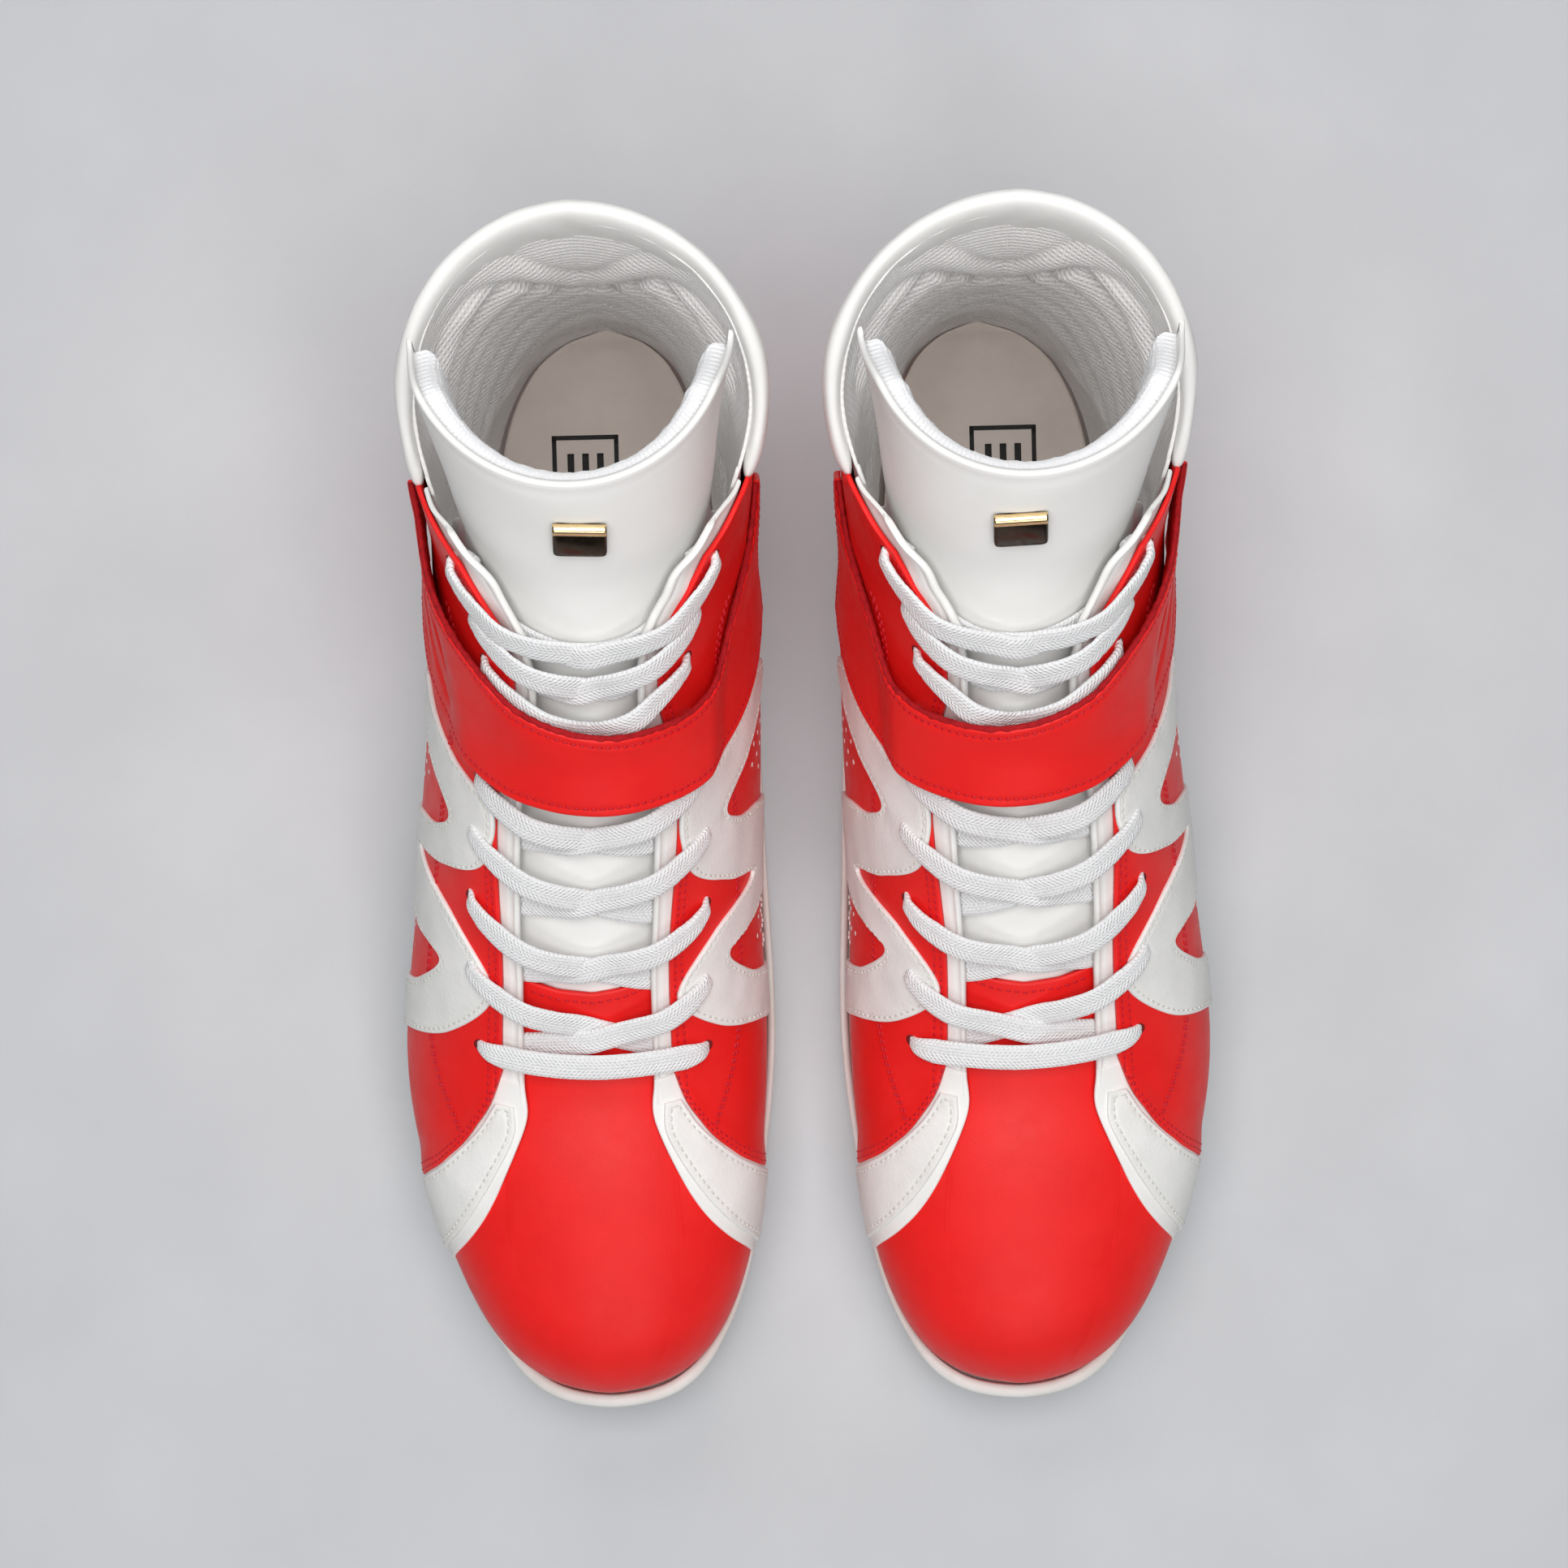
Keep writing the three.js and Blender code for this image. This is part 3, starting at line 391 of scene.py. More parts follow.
def last_normal(a, b):
    """Outward normal: the cross product of the two surface slopes, by small differences."""
    e = 1e-3
    along = last(np.clip(a + e, 0, 1), b) - last(np.clip(a - e, 0, 1), b)
    across = last(a, np.clip(b + e, -1, 1)) - last(a, np.clip(b - e, -1, 1))
    return unit(np.cross(across, along))


def on_last(a, b, h):
    a, b, h = np.broadcast_arrays(*(np.asarray(x, float) for x in (a, b, h)))
    return last(a, b) + last_normal(a, b) * h[..., None]


def curve(points):
    """Smooth curve y(x) through a few [x, y] points."""
    x, y = np.array(points, float).T
    slopes = np.gradient(y, x)
    return lambda q: hermite(x, y, slopes, np.clip(q, x[0], x[-1]))


def line(points):
    """Straight runs y(x) through a few [x, y] points."""
    x, y = np.array(points, float).T
    return lambda q: np.interp(q, x, y)


def path(points):
    """Smooth curve through a few corners, as a function of the corner number."""
    points = np.array(points, float)
    knots = np.arange(len(points), dtype=float)
    slopes = np.gradient(points, axis=0)
    return lambda s: hermite(knots, points, slopes, s)


def ripple(points, wavelength, seed, waves=9):
    """Smooth random relief from about -1 to 1: a mean of sine waves that run in random directions."""
    rng = np.random.default_rng(seed)
    ways = unit(rng.normal(size=(waves, 3))) * (2 * np.pi / wavelength) * rng.uniform(0.6, 1.5, (waves, 1))
    return 2 * np.sin(points @ ways.T + rng.uniform(0, 2 * np.pi, waves)).mean(-1)


# ---------------------------------------------------------------- meshes
class Shape:
    """Closed body: points in millimetres, groups of faces of one length each, and UV in metres."""

    def __init__(self, points, faces, uv=None):
        self.points = np.asarray(points, float).reshape(-1, 3)
        self.faces = [np.asarray(f, int) for f in (faces if isinstance(faces, list) else [faces])]
        self.uv = uv
        self.turn_outwards()

    def turn_outwards(self):
        """Reverses every face if the closed body's signed volume is negative."""
        volume = 0.0
        for f in self.faces:
            p = self.points[f]
            for k in range(1, f.shape[1] - 1):
                volume += np.einsum("ij,ij->", p[:, 0], np.cross(p[:, k], p[:, k + 1]))
        if volume < 0:
            self.faces = [f[:, ::-1] for f in self.faces]


def merge(shapes):
    """Several shapes as one; faces are grouped by their length."""
    points, groups, start = [], {}, 0
    for s in shapes:
        points.append(s.points)
        for f in s.faces:
            groups.setdefault(f.shape[1], []).append(f + start)
        start += len(s.points)
    return Shape(np.concatenate(points), [np.concatenate(g) for g in groups.values()])


def grid_quads(n, m, start=0, ring_n=False, ring_m=False):
    """Quads of an n by m grid of points; a ring closes on itself in that direction."""
    i = np.arange(n if ring_n else n - 1)[:, None]
    j = np.arange(m if ring_m else m - 1)[None, :]
    i2, j2 = (i + 1) % n, (j + 1) % m
    return start + np.stack([i * m + j, i2 * m + j, i2 * m + j2, i * m + j2], -1).reshape(-1, 4)


def border(n, m):
    """Indices round the border of an n by m grid."""
    return np.concatenate([np.arange(m), np.arange(1, n) * m + m - 1,
                           (n - 1) * m + np.arange(m - 2, -1, -1), np.arange(n - 2, 0, -1) * m])


def plate(low, high, uv=None):
    """Closed sheet between two grids of points: both grids, and a wall between their borders."""
    n, m = high.shape[:2]
    rim = border(n, m)
    after = np.roll(rim, -1)
    wall = np.stack([rim, after, after + n * m, rim + n * m], -1)
    top = grid_quads(n, m)[:, ::-1]
    points = np.concatenate([high.reshape(-1, 3), low.reshape(-1, 3)])
    both = None if uv is None else np.concatenate([uv.reshape(-1, 2)] * 2)
    return Shape(points, np.concatenate([top, grid_quads(n, m, n * m), wall[:, ::-1]]), both)


def tube(sections, uv=None):
    """Body swept through sections (n, m, 3), capped by one face at each end."""
    n, m = sections.shape[:2]
    caps = np.stack([np.arange(m), (n - 1) * m + np.arange(m)[::-1]])
    return Shape(sections, [grid_quads(n, m, ring_m=True), caps], uv)


def lengths(points):
    """Distance along a run of points, from 0."""
    step = np.linalg.norm(np.diff(points, axis=0), axis=-1)
    return np.concatenate([[0], np.cumsum(step)])


EDGE_SHARES = np.array([0, 0.05, 0.18, 0.4, 0.7, 1.0])


def stations(length, step, radius):
    """Stations from 0 to 1 across runs of some lengths: close together within the edge radius at
    both ends, and about `step` apart between."""
    length = np.atleast_1d(np.asarray(length, float))[:, None]
    near = EDGE_SHARES * np.minimum(radius, 0.4 * length) / length
    count = max(2, int(round(length.max() / step)))
    share = np.arange(1, count) / count
    inner = near[:, -1:] + (1 - 2 * near[:, -1:]) * share
    return np.concatenate([near, inner, 1 - near[:, ::-1]], axis=1)


def rounding(distance, radius):
    """How far a rounded edge has dropped at some distance from it: a quarter circle."""
    t = 1 - np.clip(distance / radius, 0, 1)
    return radius * (1 - np.sqrt(np.maximum(0, 1 - t * t)))


def value(f, *where):
    return f(*where) if callable(f) else f


class Panel:
    """Sheet on the last with rounded edges.

    place(u, v) gives (a, b) for u along and v across, both 0 to 1. low and high are heights or
    functions of (a, b). relief(a, b, d, points) is added on top, d being the distance to the edge."""

    def __init__(self, place, low, high, step=1.2, radius=0.7, relief=None):
        self.place, self.low, self.high = place, low, high
        self.step, self.radius, self.relief = step, radius, relief
        middle = np.linspace(0, 1, 120)
        self.length = lengths(last(*place(middle, 0 * middle + 0.5)))[-1]

    def width(self, u):
        """Length across at each u."""
        v = np.linspace(0, 1, 24)
        grid = last(*self.place(np.asarray(u, float)[:, None] + 0 * v, v + 0 * np.asarray(u)[:, None]))
        return np.linalg.norm(np.diff(grid, axis=1), axis=-1).sum(1)

    def top(self, a, b, d):
        h = value(self.high, a, b) + 0 * a
        if self.relief is not None:
            h = h + self.relief(a, b, d, last(a, b))
        return h

    def shape(self):
        u = stations(self.length, self.step, self.radius)[0]
        width = self.width(u)
        v = stations(width, self.step, self.radius)
        u = u[:, None] + 0 * v
        a, b = self.place(u, v)
        d = np.minimum(np.minimum(v, 1 - v) * width[:, None], np.minimum(u, 1 - u) * self.length)
        high = self.top(a, b, d)
        low = value(self.low, a, b) + 0 * a
        edge_radius = np.minimum(self.radius, 0.85 * (high - low))
        high = high - rounding(d, edge_radius)
        uv = np.stack([u * self.length, v * width[:, None]], -1) * MM
        return plate(on_last(a, b, low), on_last(a, b, high), uv)

    def row(self, edge, inset, start=0.0, stop=1.0):
        """(a, b, height) along a line parallel to an edge, `inset` millimetres inside it."""
        t = np.linspace(start, stop, 500)
        if edge in ("v0", "v1"):
            v = inset / np.maximum(self.width(t), 2 * inset)
            a, b = self.place(t, v if edge == "v0" else 1 - v)
        else:
            u = 0 * t + inset / self.length
            a, b = self.place(u if edge == "u0" else 1 - u, t)
        return a, b, self.top(a, b, 0 * a + inset)


# ---------------------------------------------------------------- thread, holes
STITCH_ALONG = np.array([-1, -0.6, 0.6, 1])
STITCH_ROUND = np.array([0.4, 1, 1, 0.4])
STITCH_SIDES = 6


def stitches(a, b, h, pitch=2.05, length=1.55, width=0.62, rise=0.34):
    """Row of thread beads along (a, b, h): each is a six-sided capsule, sunk a little at its ends."""
    fine = on_last(a, b, h)
    run = lengths(fine)
    count = max(1, int(run[-1] / pitch))
    where = (np.arange(count) + 0.5) * run[-1] / count
    pick = [np.interp(where, run, x) for x in (a, b, h)]
    middle = on_last(*pick)
    normal = last_normal(pick[0], pick[1])
    ahead = np.stack([np.interp(where + 0.5, run, fine[:, k]) - np.interp(where - 0.5, run, fine[:, k])
                      for k in range(3)], -1)
    along = unit(ahead)
    across = unit(np.cross(normal, along))
    turn = np.arange(STITCH_SIDES) * 2 * np.pi / STITCH_SIDES
    local_x = (STITCH_ALONG[:, None] * length / 2 + 0 * turn).ravel()
    local_y = (STITCH_ROUND[:, None] * np.cos(turn) * width / 2).ravel()
    local_z = (STITCH_ROUND[:, None] * np.sin(turn) * rise).ravel()
    local_z = local_z - 0.12 * (np.abs(STITCH_ALONG)[:, None] > 0.9).repeat(STITCH_SIDES, 1).ravel()
    points = (middle[:, None] + local_x[None, :, None] * along[:, None]
              + local_y[None, :, None] * across[:, None] + local_z[None, :, None] * normal[:, None])
    size = len(STITCH_ALONG) * STITCH_SIDES
    one = grid_quads(len(STITCH_ALONG), STITCH_SIDES, ring_m=True)
    caps = np.stack([np.arange(STITCH_SIDES), size - 1 - np.arange(STITCH_SIDES)])
    starts = (np.arange(count) * size)[:, None, None]
    return Shape(points, [(one[None] + starts).reshape(-1, 4),
                          (caps[None] + starts).reshape(-1, STITCH_SIDES)])


def discs(places, h, radius, sides=18):
    """Low round buttons at (a, b) places: a flat top at height h, and a wall half a millimetre deep."""
    turn = np.arange(sides) * 2 * np.pi / sides
    shapes = []
    for a, b in places:
        normal = last_normal(a, b)
        along = unit(last(a + 1e-3, b) - last(a - 1e-3, b))
        across = np.cross(normal, along)
        round_it = np.cos(turn)[:, None] * along + np.sin(turn)[:, None] * across
        sections = [last(a, b) + level * normal + share * radius * round_it
                    for level, share in ((h - 0.5, 1), (h, 1), (h, 0.55), (h, 0.1))]
        shapes.append(tube(np.array(sections)))
    return merge(shapes)


# ---------------------------------------------------------------- putting pieces in the scene
def add_piece(side, name, shape, finish, body, slot, stands_for=(), blend=None, pad=None):
    """Makes one boot's piece, mirrored for the left boot: it rides on its body, except a piece with a blend,
    which is only baked in place and rides on nothing.
    """
    left = side == "left"
    points = shape.points.copy()
    points[:, 0] -= HALF_SPACING
    if left:
        points[:, 0] *= -1
    faces = [f[:, ::-1] if left else f for f in shape.faces]
    mesh = bpy.data.meshes.new(f"{side}_{name}")
    mesh.from_pydata((points * MM).tolist(), [], [f for group in faces for f in group.tolist()])
    mesh.materials.append(material(finish))
    mesh.polygons.foreach_set("use_smooth", np.ones(len(mesh.polygons), bool))
    if shape.uv is not None:
        layer = mesh.uv_layers.new(name="cloth")
        corner = np.empty(len(mesh.loops), np.int32)
        mesh.loops.foreach_get("vertex_index", corner)
        layer.data.foreach_set("uv", shape.uv[corner].astype(np.float32).ravel())
    mesh.update()
    piece = bpy.data.objects.new(f"{side}_{name}", mesh)
    bpy.context.scene.collection.objects.link(piece)
    if blend is None:
        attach(piece, f"{side}_{body}")
    else:
        second, start, end = blend
        mirror = -1 if left else 1
        start, end = ([mirror * (p[0] - HALF_SPACING) * MM, p[1] * MM, p[2] * MM] for p in (start, end))
        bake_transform(piece)
    if stands_for:
        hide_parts(*(f"{side}_{n}" for n in stands_for))


def both_boots(name, shape, finish, slot, body="boot", **more):
    for side in ("right", "left"):
        add_piece(side, name, shape, finish, body, slot, **more)


def carry_over(*names, finish):
    """Gives CAD nodes that stay, inside the boot, their finish."""
    for side in ("right", "left"):
        for name in names:
            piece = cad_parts[f"{side}_{name}"]
            piece.data.materials.clear()
            piece.data.materials.append(material(finish))


# ---------------------------------------------------------------- outlines on the last
UPPER_LOW, UPPER_TOP = 0.1, 1.3
WING_OUTER = [[0.344, 0.272], [0.316, 0.342], [0.29, 0.47], [0.275, 0.62], [0.268, 0.78], [0.265, 0.93]]
WING_INNER = [[0.341, 0.215], [0.31, 0.222], [0.262, 0.33], [0.228, 0.49], [0.209, 0.71], [0.2, 0.93]]
UNDERLAY_OUTER = [[0.372, 0.30], [0.335, 0.40], [0.305, 0.52], [0.292, 0.65], [0.285, 0.8], [0.282, 0.97]]
UNDERLAY_INNER = [[0.362, 0.188], [0.322, 0.188], [0.258, 0.298], [0.221, 0.455], [0.2, 0.69], [0.19, 0.97]]
VAMP_END = line([[0, 0.437], [0.1, 0.4405], [0.2, 0.449], [0.25, 0.449], [0.262, 0.34], [0.28, 0.315],
                 [0.42, 0.26], [0.6, 0.24], [0.985, 0.235]])
QUARTER_FRONT = curve([[0.245, 0.374], [0.275, 0.349], [0.335, 0.3225], [0.47, 0.292], [0.62, 0.277],
                       [0.78, 0.270], [0.985, 0.266]])
QUARTER_EDGE = curve([[0.33, 0.245], [0.44, 0.25], [0.55, 0.262], [0.6, 0.255], [0.655, 0.22],
                      [0.728, 0.17], [0.8, 0.15], [0.838, 0.205], [0.868, 0.25]])
QUARTER_TOP = line([[0.24, 0.86], [0.33, 0.88], [0.385, 0.886], [0.4, 0.85], [0.47, 0.87],
                    [0.55, 0.9], [0.65, 0.925], [0.8, 0.945], [1, 0.953]])
FACING_EDGE = curve([[0.34, 0.188], [0.44, 0.195], [0.495, 0.205], [0.553, 0.2], [0.595, 0.192],
                     [0.655, 0.166], [0.728, 0.126], [0.8, 0.108], [0.838, 0.15], [0.868, 0.19],
                     [0.89, 0.265]])
FACING_OUTER = curve([[0.34, 0.40], [0.5, 0.46], [0.6, 0.43], [0.67, 0.36], [0.72, 0.3],
                      [0.75, 0.275], [0.8, 0.272], [0.82, 0.29], [0.89, 0.37]])
COLLAR_TOP = curve([[0.385, 0.893], [0.43, 0.913], [0.5, 0.94], [0.6, 0.966], [0.7, 0.981], [0.85, 0.993],
                    [1, 0.998]])
COLLAR_LOW = curve([[0.385, 0.872], [0.43, 0.868], [0.5, 0.882], [0.6, 0.912], [0.7, 0.929], [0.85, 0.948],
                    [1, 0.953]])
EYELETS = {
    LATERAL: [[0.397, 0.315], [0.464, 0.358], [0.515, 0.353], [0.568, 0.338], [0.613, 0.31],
              [0.673, 0.285], [0.749, 0.225], [0.808, 0.215], [0.852, 0.262]],
    MEDIAL: [[0.39, 0.37], [0.447, 0.385], [0.503, 0.38], [0.56, 0.355], [0.608, 0.318],
             [0.67, 0.285], [0.747, 0.225], [0.808, 0.215], [0.852, 0.262]],
}
BAND_OUTER = {
    LATERAL: [[0.63, 0.6], [0.61, 0.4], [0.59, 0.262], [0.542, 0.3], [0.527, 0.46],
              [0.521, 0.63], [0.496, 0.43], [0.443, 0.272], [0.405, 0.42], [0.398, 0.68], [0.395, 0.93]],
    MEDIAL: [[0.63, 0.6], [0.61, 0.4], [0.59, 0.262], [0.535, 0.3], [0.512, 0.46],
             [0.5, 0.62], [0.48, 0.42], [0.436, 0.268], [0.405, 0.42], [0.398, 0.68], [0.395, 0.93]],
}
BAND_INNER = [[0.612, 0.73], [0.596, 0.6], [0.568, 0.43], [0.55, 0.5], [0.54, 0.66],
              [0.515, 0.9], [0.478, 0.7], [0.46, 0.48], [0.437, 0.6], [0.43, 0.78], [0.425, 0.93]]


def ribbon(first, second, side=1):
    """Place on a strip between two lists of corners: u runs along both, v from first to second."""
    one, two = path(first), path(second)
    corners = len(first) - 1

    def place(u, v):
        p, q = one(u * corners), two(u * corners)
        v = np.asarray(v, float)[..., None]
        spot = lerp(p, q, v)
        return spot[..., 0], side * spot[..., 1]
    return place


def back_end(a):
    """|b| of the lowest or rearmost line of a side piece: inside the cup, then at the back seam."""
    return lerp(0.98, 0.9998, smooth((a - 0.75) / 0.02))


# ---------------------------------------------------------------- upper
def vamp_sink(a, b):
    """The vamp goes down under the facings towards its tab."""
    return 4.5 * smooth((a - 0.25) / 0.12) * (1 - smooth((np.abs(b) - 0.262) / 0.05))


def vamp_panel():
    """Toe and vamp in one: a = share of the way to the vamp's end, b straight across."""
    def place(u, v):
        b = lerp(-0.985, 0.985, v)
        return (0.010 + 0.99 * u) * VAMP_END(np.abs(b)), b

    def relief(a, b, d, p):
        return 0.05 * ripple(p, 40, 3) * smooth(a / 0.06) - 0.16 * np.exp(-((d - 1.9) / 0.6) ** 2) * (a > 0.4)
    return Panel(place, lambda a, b: UPPER_LOW - vamp_sink(a, b),
                 lambda a, b: UPPER_TOP - vamp_sink(a, b),
                 step=1.7, radius=0.6, relief=relief)


def underlay_level(a, b):
    """The white underlay lies on the toe and comes down beside the throat to the facings."""
    return lerp(2.0, 0.05, smooth((a - 0.265) / 0.085))


def underlay_panel(side):
    return Panel(ribbon(UNDERLAY_OUTER, UNDERLAY_INNER, side), lambda a, b: underlay_level(a, b) - 0.9,
                 underlay_level, step=1.3, radius=0.6,
                 relief=lambda a, b, d, p: 0.10 * ripple(p, 14, 5) + 0.10 * ripple(p, 5, 6) * (d < 1.2))


def sewn(depth, inset=1.7, wave=0.08, seed=11, length=17):
    """Relief of a sewn edge: a groove at the stitch line, and slight puckers near it."""
    def relief(a, b, d, p):
        groove = -depth * np.exp(-((d - inset) / 0.55) ** 2)
        pucker = 0.6 * depth * ripple(p, 6.5, seed + 1) * np.exp(-((d - inset) / 2.2) ** 2)
        return groove + pucker + wave * ripple(p, length, seed) * smooth(d / 3)
    return relief


def wing_panel(side):
    return Panel(ribbon(WING_OUTER, WING_INNER, side), lambda a, b: underlay_level(a, b) - 0.1,
                 lambda a, b: underlay_level(a, b) + 0.95, step=1.1, radius=0.65,
                 relief=sewn(0.22, wave=0.12, seed=21, length=13))


def tuck(a, b):
    """The upper is pulled in where it goes down into the cup, beside the forefoot."""
    return 0.9 * smooth((np.abs(b) - 0.7) / 0.2) * (1 - smooth((a - 0.45) / 0.15))


def quarter_lift(a, b):
    """The front margin of a quarter laps over the underlay."""
    gap = (a - QUARTER_FRONT(np.abs(b))) / 0.03
    return 1.15 * (1 - smooth(gap)) * smooth((np.abs(b) - 0.25) / 0.06)


def quarter_panel(side):
    def place(u, v):
        b0 = lerp(0.245, 0.985, v)
        a = lerp(QUARTER_FRONT(b0), QUARTER_TOP(b0), u)
        near = smooth((0.385 - b0) / 0.14)
        b = b0 + near * (QUARTER_EDGE(a) - 0.245)
        b = b + smooth((b0 - 0.86) / 0.125) * (back_end(a) - 0.985)
        return a, side * b

    def relief(a, b, d, p):
        edge = -0.16 * (np.exp(-((d - 1.6) / 0.5) ** 2) + np.exp(-((d - 3.9) / 0.5) ** 2))
        front = np.abs(b) < 0.9
        return (edge + 0.10 * ripple(p, 6, 33 + side) * np.exp(-((d - 2.5) / 3) ** 2)) * front \
            + 0.12 * ripple(p, 30, 31 + side) * smooth(d / 5)
    return Panel(place, lambda a, b: UPPER_LOW - tuck(a, b) + quarter_lift(a, b),
                 lambda a, b: UPPER_TOP - tuck(a, b) + quarter_lift(a, b),
                 step=1.9, radius=0.6, relief=relief)


def facing_panel(side):
    """White eyelet facing with a rolled inner edge and the fold line beside it.

    Above the strap it is loose and waves from side to side."""
    def place(u, v):
        a = lerp(0.34, 0.889, u)
        return a, side * lerp(FACING_EDGE(a), FACING_OUTER(a), v)

    def waves(a, b, p):
        inner = (np.abs(b) - FACING_EDGE(a)) * 95
        return inner, ripple(p, 15, 41 + side) * (1 - smooth((inner - 5) / 6)), smooth((a - 0.7) / 0.1)

    def low(a, b):
        _, wave, loose = waves(a, b, last(a, b))
        return -1.4 + 0.75 * loose * wave

    def relief(a, b, d, p):
        inner, wave, loose = waves(a, b, p)
        roll = 0.55 * np.exp(-((inner - 0.7) / 0.6) ** 2) - 0.35 * np.exp(-((inner - 1.9) / 0.35) ** 2)
        return roll + (0.08 + 0.75 * loose) * wave
    return Panel(place, low, -0.3, step=0.9, radius=0.55, relief=relief)


def band_panel(side):
    return Panel(ribbon(BAND_OUTER[side], BAND_INNER, side), lambda a, b: 1.15 - tuck(a, b),
                 lambda a, b: 2.35 - tuck(a, b), step=1.25, radius=0.7,
                 relief=sewn(0.24, wave=0.12, seed=51 + side, length=11))


def heel_panel():
    """White panel over the back seam, narrower towards the sole."""
    def place(u, v):
        a = lerp(0.781, 0.945, u)
        reach = lerp(0.17, 0.11, u) + 0.05 * np.cos(np.pi * u) ** 2
        c = lerp(-1, 1, v) * reach
        return a, np.where(c < 0, -1, 1) * (1 - np.abs(c))
    return Panel(place, 1.15, 2.45, step=1.1, radius=0.7, relief=sewn(0.22, seed=61))


# ---------------------------------------------------------------- linings and collar
def lining_top(b):
    """Top edge of the lining: just inside the collar's top, and level in front of the collar."""
    b = np.abs(b)
    return np.where(b < 0.385, 0.9 - 0.02 * (0.385 - b) / 0.025, COLLAR_TOP(b) - 0.007)


def lining_panel(side):
    """Padded side lining. Quilted ribs run round the heel, each a little lower towards the front,
    and meet in chevrons at the back seam; above them a plain band dips at the back."""
    def place(u, v):
        b0 = lerp(0.36, 0.985, v)
        a = lerp(lerp(0.40, 0.288, smooth((b0 - 0.36) / 0.14)), lining_top(b0), u)
        return a, side * (b0 + smooth((b0 - 0.86) / 0.125) * (back_end(a) - 0.985))

    def outer(a, b):
        low = smooth((last(a, b)[..., 2] - 32) / 26) * smooth((a - 0.6) / 0.08)
        low = low * smooth((lining_top(b) - a) / 0.04)
        return lerp(-1.5, lerp(-1.4, -2.8, low), smooth((np.abs(b) - 0.42) / 0.1))

    def inner(a, b):
        p = last(a, b)
        z = p[..., 2]
        forward = (1 - np.abs(b)) * 125
        seam = 105 + 32 * (1 - np.exp(-(forward / 17) ** 2))
        phase = (z + 0.45 * forward + 2 * ripple(p, 40, 71)) / 15.5
        rib = np.abs(np.sin(np.pi * phase)) ** 0.85
        below = smooth((seam - z) / 4) * smooth((z - 32) / 8)
        band = 1.3 * np.exp(-((z - seam - 8) / 6) ** 2) - 0.8 * np.exp(-((z - seam - 17) / 2.2) ** 2)
        crease = -1.0 * np.exp(-((z - seam) / 2.0) ** 2)
        puff = (3.2 * (rib - 0.5) * below + band + crease) * smooth((a - 0.6) / 0.1)
        thick = lerp(-2.9, -4.9, smooth((z - 32) / 26) * smooth((a - 0.6) / 0.08))
        near_top = smooth((lining_top(b) - a) / 0.045)
        thick = lerp(-2.3, thick, near_top)
        wall = lerp(-2.4, thick, smooth((np.abs(b) - 0.42) / 0.1))
        return wall - puff * smooth((np.abs(b) - 0.5) / 0.08) * near_top - 0.12 * ripple(p, 9, 72)
    return Panel(place, inner, outer, step=1.3, radius=0.5)


def vamp_lining_panel():
    def place(u, v):
        return lerp(0.02, 0.285, u), lerp(-0.985, 0.985, v)
    return Panel(place, -4.9, -2.8, step=2.0, radius=0.4)


COLLAR_SECTION = 40


def collar_shape():
    """Padded roll: a superellipse section from the lateral front end round the back to the medial one.

    The section's middle lies between the collar's two edges, and it runs from 2.8 inside the last
    to 3.4 outside; both ends close like a fingertip."""
    c = np.concatenate([-1 + 0.06 * np.linspace(0, 1, 9) ** 2, np.linspace(-0.935, 0.935, 200),
                        (1 - 0.06 * np.linspace(0, 1, 9) ** 2)[::-1]])
    b_abs = lerp(1, 0.385, np.abs(c))
    sign = np.where(c < 0, -1, 1)
    tip = np.sqrt(np.clip(1 - np.clip((np.abs(c) - 0.93) / 0.07, 0, 1) ** 2, 0.02, 1))
    taper = lerp(0.6, 1, smooth((1 - np.abs(c)) / 0.35)) * tip
    top, low = COLLAR_TOP(b_abs), COLLAR_LOW(b_abs)
    turn = np.arange(COLLAR_SECTION) * 2 * np.pi / COLLAR_SECTION
    up = np.sign(np.sin(turn)) * np.abs(np.sin(turn)) ** 0.8
    out = np.sign(np.cos(turn)) * np.abs(np.cos(turn)) ** 0.8
    a = (top + low)[:, None] / 2 + (top - low)[:, None] / 2 * up * tip[:, None]
    a = np.minimum(a, 0.9985)
    b = (sign * b_abs)[:, None] + 0 * a
    h = 0.35 + 3.1 * taper[:, None] * out
    spots = on_last(a, b, h)
    wave = ripple(spots, 26, 81) * 0.3 + ripple(spots, 9, 82) * 0.1
    spots = on_last(a, b, h + wave * out)
    run = lengths(spots[:, 0])[:, None] + 0 * a
    girth = np.concatenate([[0], np.cumsum(np.linalg.norm(np.diff(spots[100], axis=0), axis=-1))])
    uv = np.stack([run, girth[None] + 0 * a], -1) * MM
    return tube(spots, uv=uv.reshape(-1, 2))


# ---------------------------------------------------------------- tongue
TONGUE_FLOOR = -4.7
TONGUE_HALF = curve([[0.40, 0.36], [0.46, 0.40], [0.6, 0.41], [0.7, 0.40], [0.82, 0.39]])
# Rows of the free top: u, y, z, half width, back depth, edge rise
TONGUE_FREE = np.array([[0, 62, 141.6, 29, 22, -20], [0.25, 67.5, 149.3, 30.5, 24.5, -12.5],
                        [0.5, 73, 157, 32, 28, -6], [0.75, 78.2, 164.5, 34, 32, 0],
                        [1, 83, 171.5, 36.3, 36, 5.5]])
TONGUE_TURN = math.radians(88)


